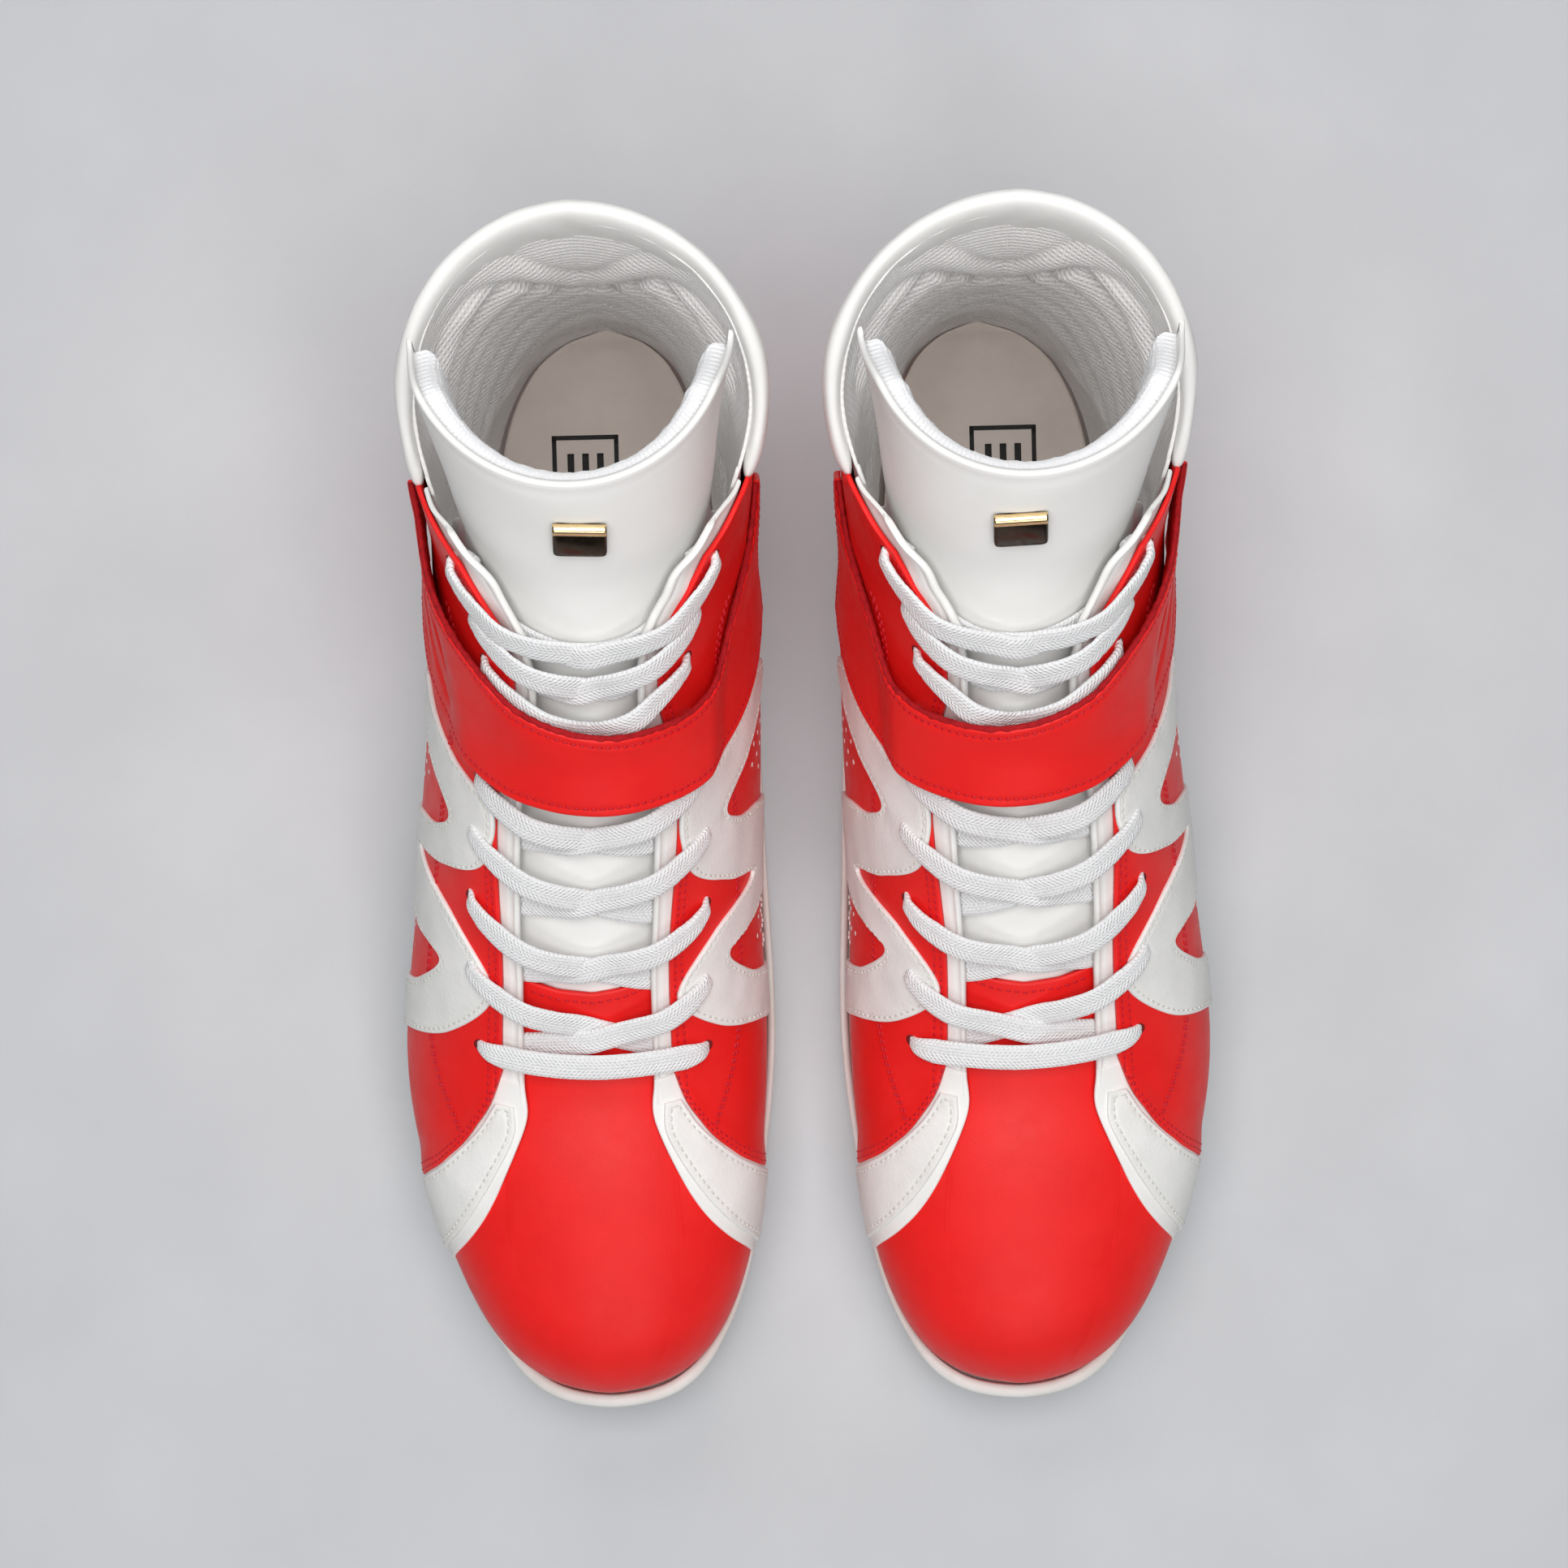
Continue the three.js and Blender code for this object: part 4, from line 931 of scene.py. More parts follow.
def tongue_rows(v):
    """Rows of the tongue's front face at the columns v: rows on the last, then the half pipe."""
    rows = []
    for a in (0.40, 0.45, 0.5, 0.55, 0.6, 0.65, 0.7, 0.74, 0.78, 0.81):
        rows.append(on_last(a + 0 * v, v * TONGUE_HALF(a), TONGUE_FLOOR + 0 * v))
    for u, y, z, half, depth, rise in TONGUE_FREE:
        turn = v * TONGUE_TURN
        rows.append(np.stack([4.2 + half * np.sin(turn) / math.sin(TONGUE_TURN),
                              y + depth * (1 - np.cos(turn)),
                              z + rise * v * v - 18 * u * u * smooth((np.abs(v) - 0.7) / 0.3)], -1))
    return np.array(rows)


def tongue_grid(rows_from, rows_to, step, radius, margin=0.0):
    """Points and outward normals of the tongue's front face, and the distance to its edge.

    The rows are joined by a smooth curve in each column, and v stops `margin` short of the sides."""
    side = 1 - margin
    v = (stations(78, step, radius)[0] * 2 - 1) * side
    rows = tongue_rows(v)
    knots = lengths(rows[:, len(v) // 2])
    slopes = np.gradient(rows, knots, axis=0)
    reach = (rows_to - rows_from) * knots[-1]
    s = lerp(knots[0], knots[-1], rows_from) + stations(reach, step, radius)[0] * reach
    grid = np.stack([hermite(knots, rows[:, j], slopes[:, j], s) for j in range(len(v))], 1)
    along = np.gradient(grid, axis=0)
    across = np.gradient(grid, axis=1)
    normal = unit(np.cross(across, along))
    width = np.linalg.norm(np.diff(grid, axis=1), axis=-1).sum(1)[:, None]
    t = (v / side + 1)[None, :] / 2
    run = (s - s[0])[:, None]
    d = np.minimum(np.minimum(t, 1 - t) * width, np.minimum(run, run[-1] - run) + 0 * t)
    uv = np.stack([run + 0 * t, (t - 0.5) * width], -1) * MM
    return grid, normal, d, run / run[-1] + 0 * t, uv


def tongue_leather_shape():
    """Outer leather: 1.3 thick, round edges, a groove 2.4 inside the free edge, slight buckling."""
    grid, normal, d, share, uv = tongue_grid(0, 1, 1.25, 0.65)
    h = -rounding(d, 0.65) + 0.35 * ripple(grid, 38, 91) * smooth(d / 8)
    h = h - 0.20 * np.exp(-((d - 2.6) / 0.6) ** 2) * smooth((share - 0.6) / 0.1)
    h = h + 0.22 * np.exp(-((d - 1.2) / 0.8) ** 2) * smooth((share - 0.6) / 0.1)
    return plate(grid - 1.35 * normal, grid + h[..., None] * normal, uv)


def tongue_terry_shape():
    """Terry back: a pad 3.4 thick behind the leather, its loops a fine random relief."""
    grid, normal, d, share, uv = tongue_grid(0.45, 0.990, 0.82, 1.8, margin=0.03)
    loops = 0.16 * ripple(grid, 2.2, 95, 14) + 0.16 * ripple(grid, 5, 96)
    crown = 5.4 - rounding(d, 3.2) * 0.9 + loops * smooth(d / 0.5)
    thin = lerp(0.55, 1, smooth((share - 0.3) / 0.3))
    return plate(grid - (1.3 + crown * thin)[..., None] * normal, grid - 1.25 * normal, uv)


def badge_shapes():
    """Plate on the tongue: a rounded rectangle swept up through sections, with a bright bar along
    its top edge."""
    v = np.array([-0.02, 0.0, 0.02, 0.04, 0.06])
    rows = tongue_rows(v)
    middle = rows[-3][2]
    up = unit(rows[-2][2] - rows[-4][2])
    tilt = math.radians(-3)
    right = np.array([math.cos(tilt), 0, 0]) + up * math.sin(tilt)
    right = unit(right - up * np.dot(right, up) + up * math.sin(tilt))
    up = unit(up - right * np.dot(up, right))
    out = np.cross(right, up)
    turn = (np.arange(48) + 0.5) * 2 * np.pi / 48

    def outline(half_w, half_h, height, power):
        x = half_w * np.sign(np.cos(turn)) * np.abs(np.cos(turn)) ** power
        y = half_h * np.sign(np.sin(turn)) * np.abs(np.sin(turn)) ** power
        return middle + x[:, None] * right + y[:, None] * up + height * out
    base = [outline(6.0, 4.9, 0.0, 0.2), outline(6.05, 4.95, 0.9, 0.2), outline(5.95, 4.85, 1.5, 0.2),
            outline(5.6, 4.5, 1.8, 0.18)]
    x = np.linspace(-5.95, 5.95, 24)
    slope = np.array([[4.95, 0.3], [5.1, 0.9], [4.9, 1.75], [4.2, 2.25], [3.0, 2.3], [2.75, 1.9],
                      [2.9, 1.0]])
    bar = (middle + x[:, None, None] * right + slope[None, :, :1] * up + slope[None, :, 1:] * out)
    return tube(np.array(base)), tube(bar)


# ---------------------------------------------------------------- ankle strap
STRAP_UP = [[0.81, 0.46], [0.765, 0.385], [0.71, 0.33], [0.695, 0.25], [0.7, 0.14],
            [0.706, 0.03], [0.72, -0.1], [0.735, -0.17], [0.775, -0.26], [0.82, -0.35], [0.855, -0.43]]
STRAP_LOW = [[0.65, 0.68], [0.632, 0.58], [0.62, 0.455], [0.61, 0.3], [0.61, 0.16],
             [0.612, 0.03], [0.616, -0.1], [0.62, -0.19], [0.636, -0.36], [0.655, -0.52], [0.69, -0.67]]
STRAP_END = [[0.855, -0.43], [0.775, -0.45], [0.745, -0.525], [0.728, -0.57], [0.69, -0.67]]
STRAP_UNDER, STRAP_OVER = 4.7, 6.35


def strap_level(base):
    """Height of the strap: it lies on the lace in the middle and comes down beside it."""
    def level(a, b):
        beside = np.where(b < 0, 2.25, 1.5)
        return base + (beside - STRAP_UNDER) * smooth((np.abs(b) - 0.29) / 0.11)
    return level


def strap_place(u, v):
    """The ribbon between the strap's edges, its free end bent to a straight cut down the ankle."""
    a, b = ribbon(STRAP_UP, STRAP_LOW)(u, v)
    cut = path(STRAP_END)(4 * v)
    bend = smooth((u - 0.72) / 0.28)
    a = a + bend * (cut[..., 0] - lerp(STRAP_END[0][0], STRAP_END[-1][0], v))
    b = b + bend * (cut[..., 1] - lerp(STRAP_END[0][1], STRAP_END[-1][1], v))
    return a, b


def strap_panel():
    def relief(a, b, d, p):
        bars = np.abs(np.mod((p[..., 2] + 0.35 * p[..., 1]) / 7.5, 1) - 0.5)
        inside = smooth((-b - 0.36) / 0.03) * (1 - smooth((-b - 0.52) / 0.02)) * smooth((d - 4.5) / 1.5)
        stamp = -0.75 * smooth((0.2 - bars) / 0.06) * inside
        return stamp - 0.22 * np.exp(-((d - 2.1) / 0.5) ** 2) + 0.2 * ripple(p, 26, 101) * smooth(d / 5) \
            + 0.10 * ripple(p, 5.5, 102) * np.exp(-((d - 2.1) / 2) ** 2)
    return Panel(strap_place, strap_level(STRAP_UNDER), strap_level(STRAP_OVER),
                 step=1.2, radius=0.7, relief=relief)


HOOK_PATCH = ([[0.735, -0.40], [0.72, -0.47], [0.705, -0.54]],
              [[0.69, -0.37], [0.678, -0.435], [0.665, -0.50]])


def patch_panel(low, high):
    """Hook or loop patch under the strap's free end, with a fuzzy face."""
    return Panel(ribbon(*HOOK_PATCH), low, high, step=1.2, radius=0.3,
                 relief=lambda a, b, d, p: 0.06 * ripple(p, 2, 131))


def strap_edge_shape():
    """Dark felted edge of the strap's layers along its upper side: a flat bead under the leather."""
    t = np.linspace(0.004, 0.996, 320)
    up, low = path(STRAP_UP)(t * 10), path(STRAP_LOW)(t * 10)
    gap = np.linalg.norm(last(up[:, 0], up[:, 1]) - last(low[:, 0], low[:, 1]), axis=-1)
    turn = np.arange(12) * 2 * np.pi / 12
    inset = 0.25 - 1.15 * np.cos(turn)[None, :] + 0 * gap[:, None]
    share = inset / gap[:, None]
    a = lerp(up[:, 0:1], low[:, 0:1], share)
    b = lerp(up[:, 1:2], low[:, 1:2], share)
    level = strap_level(STRAP_UNDER)(a, b)
    h = level + 0.6 + 0.8 * np.sin(turn)[None, :]
    fuzz = 0.18 * ripple(on_last(a, b, h), 2.2, 111, 12)
    spots = on_last(a, b, h + fuzz)
    return tube(spots)


# ---------------------------------------------------------------- lace
LACE_WIDE, LACE_THICK = 7.0, 1.75
LACE_OVER, LACE_UNDER = 3.15, -3.2
LACE_SAG = [0.020, 0.020, 0.018, 0.016, 0.016, 0.024, 0.036, 0.042]


def lace_crossing(side, k):
    """Steps (a, b, height, width) from under eyelet k on one side to over eyelet k + 1 on the other."""
    a0, b0 = EYELETS[side][k][0], side * EYELETS[side][k][1]
    a1, b1 = EYELETS[-side][k + 1][0], -side * EYELETS[-side][k + 1][1]
    under = -2.35 if k == 0 else LACE_UNDER
    middle = under + 0.1 if side == MEDIAL else under + 1.75
    marks = [(0.0, -1.6, 3.4), (0.02, -2.3, 3.6), (0.06, under, 4.6), (0.16, under, LACE_WIDE),
             (0.32, under, LACE_WIDE), (0.44, lerp(under, middle, 0.9), LACE_WIDE),
             (0.56, max(middle, -1.7), LACE_WIDE), (0.66, 0.9, LACE_WIDE),
             (0.75, LACE_OVER - 0.2, LACE_WIDE), (0.86, LACE_OVER, LACE_WIDE - 0.3),
             (0.94, LACE_OVER - 0.1, 5.2), (0.985, LACE_OVER - 0.9, 3.8), (1.0, 0.6, 3.4)]
    return [(lerp(a0, a1, t) - LACE_SAG[k] * 4 * t * (1 - t), lerp(b0, b1, t), h, w) for t, h, w in marks]


def lace_steps():
    """All steps of one lace: lateral strand from its tucked end down, the bar, the medial strand up."""
    chains = []
    for start in (MEDIAL, LATERAL):
        side, steps = start, []
        for k in range(8):
            steps += lace_crossing(side, k)
            side = -side
        a, b = EYELETS[side][8][0], side * EYELETS[side][8][1]
        steps += [(a, b, -1.6, 3.4), (a, b - side * 0.01, -2.8, 3.6), (a, b - side * 0.035, LACE_UNDER, 4.2)]
        chains.append(steps)
    (am, bm), (al, bl) = EYELETS[MEDIAL][0], EYELETS[LATERAL][0]
    bl = -bl
    marks = [(0.0, 0.6, 3.4), (0.02, LACE_OVER - 1.5, 3.8), (0.055, LACE_OVER - 0.6, 5.2),
             (0.13, LACE_OVER - 0.4, LACE_WIDE), (0.3, LACE_OVER - 0.9, LACE_WIDE),
             (0.42, LACE_OVER - 1.3, LACE_WIDE)]
    bar = [(lerp(al, am, t) - 0.05 * t * (1 - t), lerp(bl, bm, t), h, w) for t, h, w in marks]
    bar += [(lerp(am, al, t) - 0.05 * t * (1 - t), lerp(bm, bl, t), h, w) for t, h, w in marks[::-1]]
    return np.array(chains[1][::-1] + bar + chains[0])


def lace_shape():
    """Flat braid: a soft oval section, width across the run and lying in the surface, carried
    along a smooth curve through the steps."""
    steps = lace_steps()
    a, b, h, width = steps.T
    spots = on_last(a, b, h)
    run = unit(np.gradient(spots, axis=0))
    normal = last_normal(a, b)
    lengthwise = unit(last(np.clip(a + 1e-3, 0, 1), b) - last(np.clip(a - 1e-3, 0, 1), b))
    flat = run - normal * np.sum(run * normal, -1, keepdims=True)
    across = np.cross(normal, flat)
    steep = np.linalg.norm(flat, axis=-1) < 0.55
    across[steep] = lengthwise[steep]
    across *= np.where(np.sum(across * lengthwise, -1, keepdims=True) < 0, -1, 1)
    across = unit(across)
    knots = lengths(spots)
    fine = np.linspace(0, knots[-1], int(knots[-1] / 0.85))
    centre = hermite(knots, spots, np.gradient(spots, knots, axis=0), fine)
    side = np.stack([np.interp(fine, knots, across[:, k]) for k in range(3)], -1)
    wide = np.interp(fine, knots, width)
    ahead = unit(np.gradient(centre, axis=0))
    side = unit(side - ahead * np.sum(side * ahead, -1, keepdims=True))
    thick = np.cross(ahead, side)
    centre = centre + side * (0.35 * ripple(centre, 23, 121))[:, None]
    turn = np.arange(20) * 2 * np.pi / 20
    x = np.sign(np.cos(turn)) * np.abs(np.cos(turn)) ** 0.8
    y = np.sign(np.sin(turn)) * np.abs(np.sin(turn)) ** 0.75
    full = LACE_THICK * (1 + 0.35 * (1 - wide / LACE_WIDE)) * (1 + 0.10 * ripple(centre, 9, 122))
    sections = (centre[:, None] + side[:, None] * (x[None] * wide[:, None] / 2)[..., None]
                + thick[:, None] * (y[None] * full[:, None] / 2)[..., None])
    dip = np.exp(-((x[None] * wide[:, None] / 2) / 1.1) ** 2) * 0.16
    sections = sections - thick[:, None] * (np.sign(y)[None] * dip)[..., None]
    sections = sections + (0.10 * ripple(sections, 1.5, 123, 12))[..., None] * thick[:, None]
    uv = np.stack([fine[:, None] + 0 * x[None], x[None] * wide[:, None] / 2], -1) * MM
    return tube(sections, uv=uv.reshape(-1, 2)), lengths(centre)[-1]


# ---------------------------------------------------------------- sole
SOLE_A = [0, 0.02, 0.045, 0.075, 0.11, 0.15, 0.19, 0.235, 0.28, 0.33, 0.38, 0.43, 0.48, 0.525, 0.57,
          0.61, 0.65, 0.68, 0.705, 0.728, 0.745, 0.758, 0.767, 0.773]


def sole_stations(count):
    """Places along the last's edge, close together where the outline turns."""
    return np.interp(np.linspace(0, len(SOLE_A) - 1, count), np.arange(len(SOLE_A)), SOLE_A)


def sole_edge(a, side, off):
    """Edge of the last moved outwards in plan by off."""
    e = 2e-3
    ahead = last(np.minimum(0.774, a + e), side) - last(np.maximum(0, a - e), side)
    out = unit(np.stack([side * ahead[..., 1], -side * ahead[..., 0], 0 * ahead[..., 0]], -1))
    return last(a, side) + out * np.asarray(off, float)[..., None]


def edge_z(a):
    """Height of the edge of the last, held level up the back of the heel."""
    return np.minimum(row_at(a)[..., 3], 25)


def tread_z(a):
    """Height of the ground face: 0 up to the ball, then a rising curve at the toe."""
    return 7 * np.maximum(0, (-80 - row_at(a)[..., 2]) / 64) ** 1.6


def cup_low(a):
    return tread_z(a) + 4.2


def cup_rim(a):
    return edge_z(a) + 3.0


def sole_runs(profile, a, low, high):
    """Profile of (offset, share of the height from low to high), carried along both sides."""
    runs = []
    for side in SIDES:
        grid = []
        for offset, share in profile:
            p = sole_edge(a, side, value(offset, a) + 0 * a)
            p[:, 2] = lerp(low(a), high(a), share)
            grid.append(p)
        runs.append(np.stack(grid, 1))
    return runs


def cup_shape():
    """Cup sole wall: a slightly convex section with a stitching groove near its rim."""
    profile = [(3.3, 0.0), (4.3, 0.0), (4.6, 0.04), (4.85, 0.2), (5.1, 0.42), (5.3, 0.62), (5.35, 0.66),
               (4.95, 0.69), (4.95, 0.74), (5.45, 0.77), (5.65, 0.90), (5.55, 0.965), (5.1, 1.0),
               (4.3, 0.99), (3.6, 0.93), (3.2, 0.5)]
    lateral, medial = sole_runs(profile, sole_stations(260), cup_low, cup_rim)
    return Shape(np.concatenate([lateral, medial[::-1]]),
                 grid_quads(2 * len(lateral), len(profile), ring_n=True, ring_m=True))


def cup_floor_shape():
    """Flat inner layer of the cup, between the tread and the insole board."""
    a = sole_stations(160)
    grids = []
    for level in (tread_z(a) + 4.3, edge_z(a) - 1.2):
        grid = np.stack([sole_edge(a, LATERAL, 3.6 + 0 * a), sole_edge(a, MEDIAL, 3.6 + 0 * a)], 1)
        grid[..., 2] = level[:, None]
        grids.append(grid)
    return plate(*grids)


GROOVE_SHARE = 0.715


def groove_stitches():
    """Thread in the groove of the cup, standing off the wall."""
    shapes = []
    a = sole_stations(400)
    for side in SIDES:
        p = sole_edge(a, side, 5.1 + 0 * a)
        p[:, 2] = lerp(cup_low(a), cup_rim(a), GROOVE_SHARE)
        run = lengths(p)
        count = int(run[-1] / 4.2)
        where = (np.arange(count) + 0.5) * run[-1] / count
        middle = np.stack([np.interp(where, run, p[:, k]) for k in range(3)], -1)
        along = unit(np.stack([np.interp(where + 1, run, p[:, k]) - np.interp(where - 1, run, p[:, k])
                               for k in range(3)], -1))
        up = np.array([0, 0, 1.0])
        out = unit(np.cross(along, up))
        turn = np.arange(6) * 2 * np.pi / 6
        for m, t, o in zip(middle, along, out):
            rings = [m + t * s * 1.5 + r * 0.32 * (np.cos(turn)[:, None] * o + np.sin(turn)[:, None] * up)
                     for s, r in ((-1, 0.4), (-0.7, 1), (0.7, 1), (1, 0.4))]
            shapes.append(tube(np.array(rings)))
    return merge(shapes)


def bumper_shape():
    """Extra rubber round the toe, fading out at both sides."""
    def fade(a):
        return 1 - smooth((a - 0.05) / 0.1)

    def low(a):
        return tread_z(a) + 5.0

    def high(a):
        return edge_z(a) + 2.0 + 3.0 * fade(a)

    def outer(extra):
        return lambda a: 4.9 + (0.35 + 1.35 * fade(a)) * extra

    def inner(offset):
        return lambda a: offset - 1.4 * fade(a)
    profile = [(4.6, 0.0), (outer(0.8), 0.0), (outer(1.0), 0.06), (outer(1.08), 0.4), (outer(1.0), 0.78),
               (outer(0.8), 0.93), (outer(0.3), 1.0), (inner(4.4), 1.01), (inner(4.1), 0.93)]
    a = sole_stations(400)
    lateral, medial = sole_runs(profile, a[a <= 0.155], low, high)
    return tube(np.concatenate([lateral[::-1], medial]))


def outsole_shape():
    """Outsole with a herringbone tread: ribs 1.1 deep in zigzag rows, and a turning disc of rings."""
    a = sole_stations(260)
    t = np.linspace(0, 1, 76)
    outer = np.stack([sole_edge(a, LATERAL, 4.55 + 0 * a), sole_edge(a, MEDIAL, 4.55 + 0 * a)], 1)
    top = lerp(outer[:, :1], outer[:, 1:], t[None, :, None])
    low = top.copy()
    top[..., 2] = (tread_z(a) + 4)[:, None]
    x, y = low[..., 0], low[..., 1]
    zigzag = (y + 3.2 * np.abs(np.mod(x / 9, 2) - 1) * 2) / 4.6
    ribs = smooth((np.abs(np.mod(zigzag, 1) - 0.5) - 0.16) / 0.08)
    reach = np.hypot(x + 1.5, (y + 62) * 0.95)
    rings = smooth((np.abs(np.mod(reach / 5, 1) - 0.5) - 0.16) / 0.08)
    pattern = np.where(reach < 24, rings, ribs)
    width = np.linalg.norm(outer[:, 1] - outer[:, 0], axis=-1)[:, None]
    margin = np.minimum(np.minimum(t, 1 - t)[None] * width, 40)
    pattern = pattern * smooth((margin - 4) / 1.2)
    low[..., 2] = tread_z(a)[:, None] + 1.1 * pattern + rounding(margin, 0.8)
    return plate(low, top)


def sockliner_shape():
    """Insole cover: a shallow dish that rises 2.5 at its edges."""
    a = sole_stations(150)
    t = np.linspace(0, 1, 46)
    left = sole_edge(a, LATERAL, -3.4 + 0 * a)
    right = sole_edge(a, MEDIAL, -3.4 + 0 * a)
    grid = lerp(left[:, None], right[:, None], t[None, :, None])
    low, top = grid.copy(), grid.copy()
    width = np.linalg.norm(right - left, axis=-1)[:, None]
    margin = np.minimum(t, 1 - t)[None] * width
    dish = 1.8 * (1 - smooth(margin / 13)) + 0.25 * ripple(grid, 30, 131)
    low[..., 2] = (edge_z(a) + 0.9)[:, None]
    top[..., 2] = (edge_z(a) + 3.4)[:, None] + dish
    return plate(low, top)


def insole_mark_shape():
    """Printed size bar: a thin frame with three short bars inside, lying on the insole."""
    shapes = []
    rects = [(0, 9.3, 18, 1.2), (0, -9.3, 18, 1.2), (-8.4, 0, 1.2, 17.4), (8.4, 0, 1.2, 17.4)]
    rects += [(x, 0, 1.8, 10) for x in (-4, 0, 4)]
    for cx, cy, w, h in rects:
        x = np.linspace(-w / 2, w / 2, 12) + cx - 2.5
        y = np.linspace(-h / 2, h / 2, 12) + cy + 103
        grid = np.stack(np.meshgrid(x, y, indexing="ij"), -1)
        z = np.interp(grid[..., 1], SOCK_Y, SOCK_Z) + 0.30
        low = np.concatenate([grid, z[..., None] - 0.5], -1)
        high = np.concatenate([grid, z[..., None]], -1)
        shapes.append(plate(low, high))
    return merge(shapes)


SOCK_A = sole_stations(120)
SOCK_Y = last(SOCK_A, LATERAL + 0 * SOCK_A)[:, 1]
SOCK_Z = edge_z(SOCK_A) + 3.4


# ---------------------------------------------------------------- seams and holes
def sample(rows):
    """Joins rows of (a, b, h) into one line."""
    return tuple(np.concatenate(part) for part in zip(*rows))


def quarter_border(panel, inset):
    """Line round a quarter's front and throat edges: up the front edge, then along the throat."""
    a1, b1, h1 = (x[::-1] for x in panel.row("u0", inset, inset / 90, 0.97))
    a2, b2, h2 = panel.row("v0", inset, inset / panel.length, 0.985)
    return sample([(a1, b1, h1), (a2, b2, h2)])


STAY_LINE = path([[0.318, 0.38], [0.345, 0.43], [0.382, 0.485], [0.442, 0.54], [0.502, 0.52],
                  [0.56, 0.47], [0.62, 0.42], [0.70, 0.36], [0.76, 0.33]])


def upper_red_seams(quarters, vamp):
    """Double rows round the quarters and beside the eyelets, one behind the ankle and one on the tab."""
    rows = []
    for side in SIDES:
        for inset in (1.6, 3.9):
            rows.append(stitches(*quarter_border(quarters[side], inset)))
        for shift in (0.0, 0.012):
            spots = STAY_LINE(np.linspace(0, 8, 700))
            a, b = spots[:, 0], side * (spots[:, 1] + shift)
            rows.append(stitches(a, b, quarters[side].top(a, b, 0 * a + 20)))
        a = np.linspace(0.80, 0.94, 200)
        rows.append(stitches(a, side * (0.93 + 0 * a), 1.3 + 0 * a))
    b = np.linspace(-0.185, 0.185, 120)
    a = VAMP_END(np.abs(b)) - 0.0075
    rows.append(stitches(a, b, vamp.top(a, b, 0 * a + 2)))
    return merge(rows)


def strap_seams(strap):
    rows = [("v0", 2.1, 0.01), ("v1", 2.3, 0.01), ("u0", 2.3, 0.04), ("u1", 2.3, 0.04)]
    return merge([stitches(*strap.row(edge, inset, start, 1 - start)) for edge, inset, start in rows])


def white_seams(wings, bands, heel):
    """Rows inside the edges of the wings, bands and back panel, and one under the collar."""
    spans = []
    for side in SIDES:
        wing, band = wings[side], bands[side]
        for edge in ("v0", "v1"):
            spans += [(wing, edge, 1.7, 0.02, 0.97), (band, edge, 1.7, 0.005, 0.985)]
        spans += [(wing, "u0", 1.7, 0.1, 0.9), (band, "u0", 1.7, 0.06, 0.94)]
    spans += [(heel, edge, 1.8, 0.01, 0.99) for edge in ("v0", "v1")]
    rows = [stitches(*panel.row(*span), pitch=2.2, length=1.6) for panel, *span in spans]
    b = np.concatenate([np.linspace(0.45, 0.999, 300), np.linspace(-0.999, -0.45, 300)])
    a = COLLAR_LOW(np.abs(b)) - 0.006
    rows.append(stitches(a, b, 1.35 + 0 * a, pitch=2.4, length=1.7))
    return merge(rows)


def perforation_places():
    """Holes in the two windows of each side band: rows of dots with every second row shifted."""
    places = []
    for side in SIDES:
        for a0, b0, rows, low in ((0.5485, 0.70, 6, 0.93), (0.4425, 0.72, 4, 0.93)):
            for i in range(rows):
                a = a0 + 0.011 * i
                start = b0 - 0.055 * i + 0.02 * (i % 2)
                for b in np.arange(max(start, 0.52), low, 0.048):
                    if window_room(a, b):
                        places.append((a, side * b))
    return places


def window_room(a, b):
    """True inside the open parts of a side band, with a margin to its sewn edge."""
    one = path(BAND_INNER)(np.linspace(0, 3.9, 200))
    two = path(BAND_INNER)(np.linspace(5.6, 9.6, 200))
    for loop, low, high in ((one, 0.545, 0.61), (two, 0.437, 0.478)):
        if low < a < high:
            reach = np.interp(b, np.sort(loop[:, 1]), loop[np.argsort(loop[:, 1]), 0])
            close = np.min(np.hypot((loop[:, 0] - a) * 290, (loop[:, 1] - b) * 90))
            return close > 3.2 and abs(reach - a) < 0.05
    return False


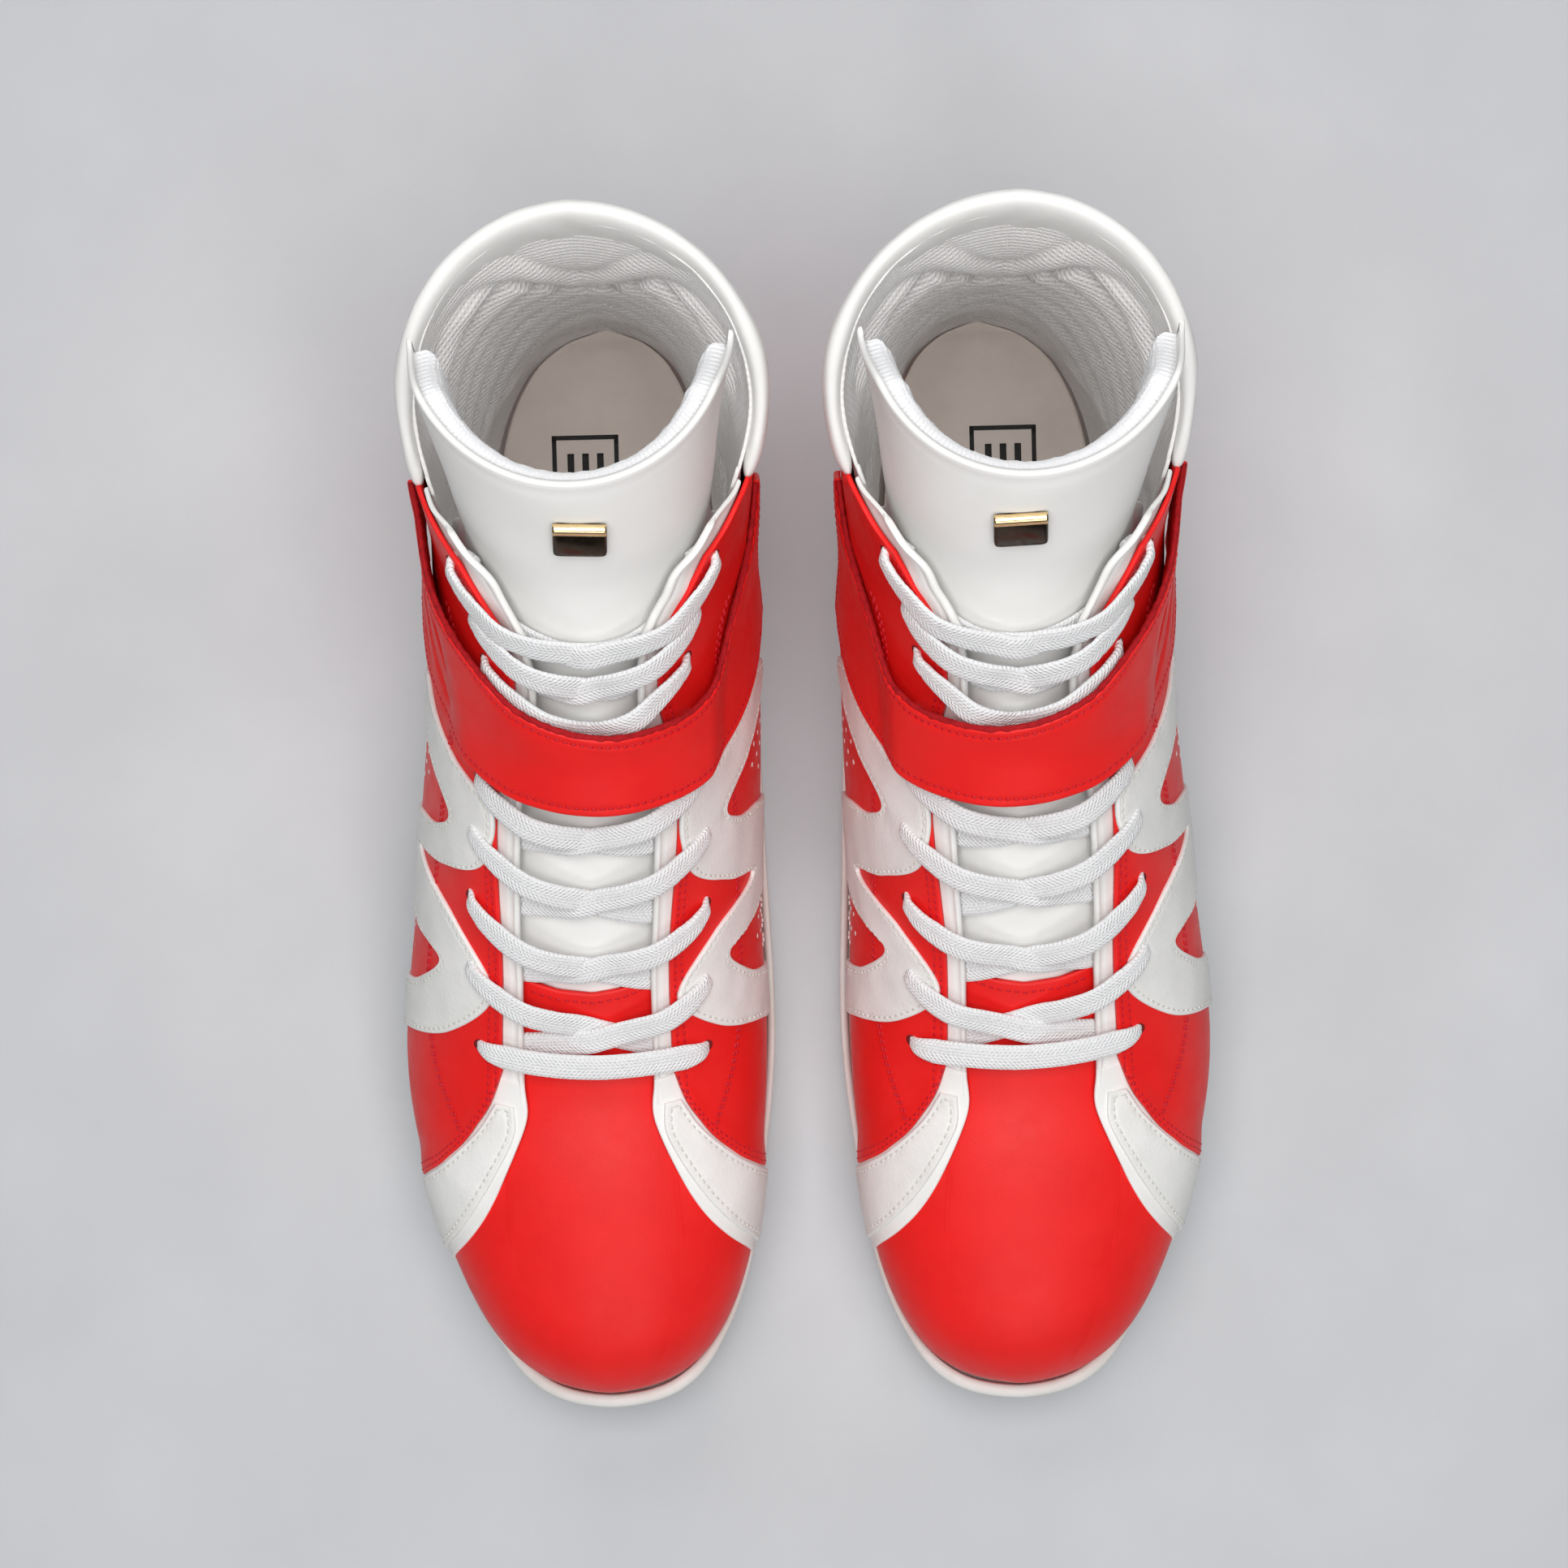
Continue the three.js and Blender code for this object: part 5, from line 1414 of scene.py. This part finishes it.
# ---------------------------------------------------------------- build
def build_upper():
    vamp = vamp_panel()
    quarters = {s: quarter_panel(s) for s in SIDES}
    wings = {s: wing_panel(s) for s in SIDES}
    bands = {s: band_panel(s) for s in SIDES}
    heel = heel_panel()
    strap = strap_panel()
    both_boots("toe_and_vamp", vamp.shape(), "red_leather", "red_leather", stands_for=["vamp"])
    both_boots("vamp_inner", vamp_lining_panel().shape(), "lining_knit", "lining",
               stands_for=["vamp_lining"])
    for side, word in ((LATERAL, "lateral"), (MEDIAL, "medial")):
        both_boots(f"wing_underlay_{word}", underlay_panel(side).shape(), "white_leather",
                   "white_leather")
        both_boots(f"wing_{word}", wings[side].shape(), "grained_white", "white_leather",
                   stands_for=[f"toe_wing_{word}"])
        both_boots(f"red_quarter_{word}", quarters[side].shape(), "red_leather", "red_leather",
                   stands_for=[f"quarter_{word}"])
        both_boots(f"eyelet_facing_{word}", facing_panel(side).shape(), "white_leather",
                   "white_leather", stands_for=[f"facing_{word}"])
        both_boots(f"zigzag_band_{word}", bands[side].shape(), "grained_white", "white_leather",
                   stands_for=[f"side_band_{word}"])
        both_boots(f"padded_lining_{word}", lining_panel(side).shape(), "lining_knit", "lining",
                   stands_for=[f"lining_{word}"], pad=0.5)
    both_boots("back_panel", heel.shape(), "grained_white", "white_leather", stands_for=["heel_panel"])
    both_boots("collar_roll", collar_shape(), "white_leather", "white_leather",
               stands_for=["collar"], pad=0.85)
    both_boots("hook_patch", patch_panel(1.35, 1.7).shape(), "hook_tape", "hook_and_loop",
               stands_for=["strap_hook_pad"])
    both_boots("loop_patch", patch_panel(1.75, 2.1).shape(), "hook_tape", "hook_and_loop", body="flap",
               stands_for=["strap_loop_pad"])
    both_boots("red_stitching", upper_red_seams(quarters, vamp), "red_thread", "red_leather")
    both_boots("white_stitching", white_seams(wings, bands, heel), "white_thread", "white_leather")
    both_boots("perforations", discs(perforation_places(), 1.36, 0.62), "hole_white", "lining")
    eyes = [(a, side * b) for side in SIDES for a, b in EYELETS[side]]
    # The eyelets are flat dark discs on the leather: their dark colour is painted shade standing in for the
    # holes
    both_boots("eyelet_hole_shade", discs(eyes, 1.42, 1.5), "hole_dark", "red_leather")
    start = on_last(0.672, -0.15, 6)
    bend = ("flap", start, start - np.array([9.5, 0, 0]))
    both_boots("ankle_strap", strap.shape(), "strap_leather", "red_leather", blend=bend,
               stands_for=["strap_base", "strap_flap"])
    both_boots("strap_felt_edge", strap_edge_shape(), "red_edge", "red_leather", blend=bend)
    both_boots("strap_stitching", strap_seams(strap), "red_thread", "red_leather", blend=bend)


def build_tongue():
    bend = ("tongue", (4.2, 54.0, 131.5), (4.2, 66.5, 147.5))
    both_boots("tongue_leather", tongue_leather_shape(), "white_leather", "white_leather", blend=bend,
               stands_for=["tongue_body", "tongue_top"])
    both_boots("tongue_terry", tongue_terry_shape(), "terry", "lining", blend=bend, pad=0.6)
    badge, bevel = badge_shapes()
    both_boots("badge_plate", badge, "dark_gilt", "gilt_metal", body="tongue",
               stands_for=["tongue_badge"])
    both_boots("badge_bevel", bevel, "gilt", "gilt_metal", body="tongue")


def build_lace():
    shape, length = lace_shape()
    print("lace length in the boot, mm:", round(length))
    both_boots("flat_lace", shape, "lace_cotton", "lace_cotton", stands_for=["lace"])


def build_sole():
    both_boots("cup_wall", cup_shape(), "rubber", "rubber", stands_for=["midsole"])
    both_boots("cup_floor", cup_floor_shape(), "rubber", "rubber")
    both_boots("cup_stitching", groove_stitches(), "white_thread", "rubber")
    both_boots("toe_rubber", bumper_shape(), "rubber", "rubber", stands_for=["toe_bumper"])
    both_boots("tread", outsole_shape(), "tread_rubber", "rubber", stands_for=["outsole"])
    both_boots("insole_cover", sockliner_shape(), "insole_cloth", "insole", stands_for=["sockliner"])
    both_boots("insole_mark", insole_mark_shape(), "insole_ink", "insole")


studio()
build_lace()
build_upper()
build_tongue()
build_sole()
carry_over("insole_board", "heel_counter", "toe_puff", finish="board")
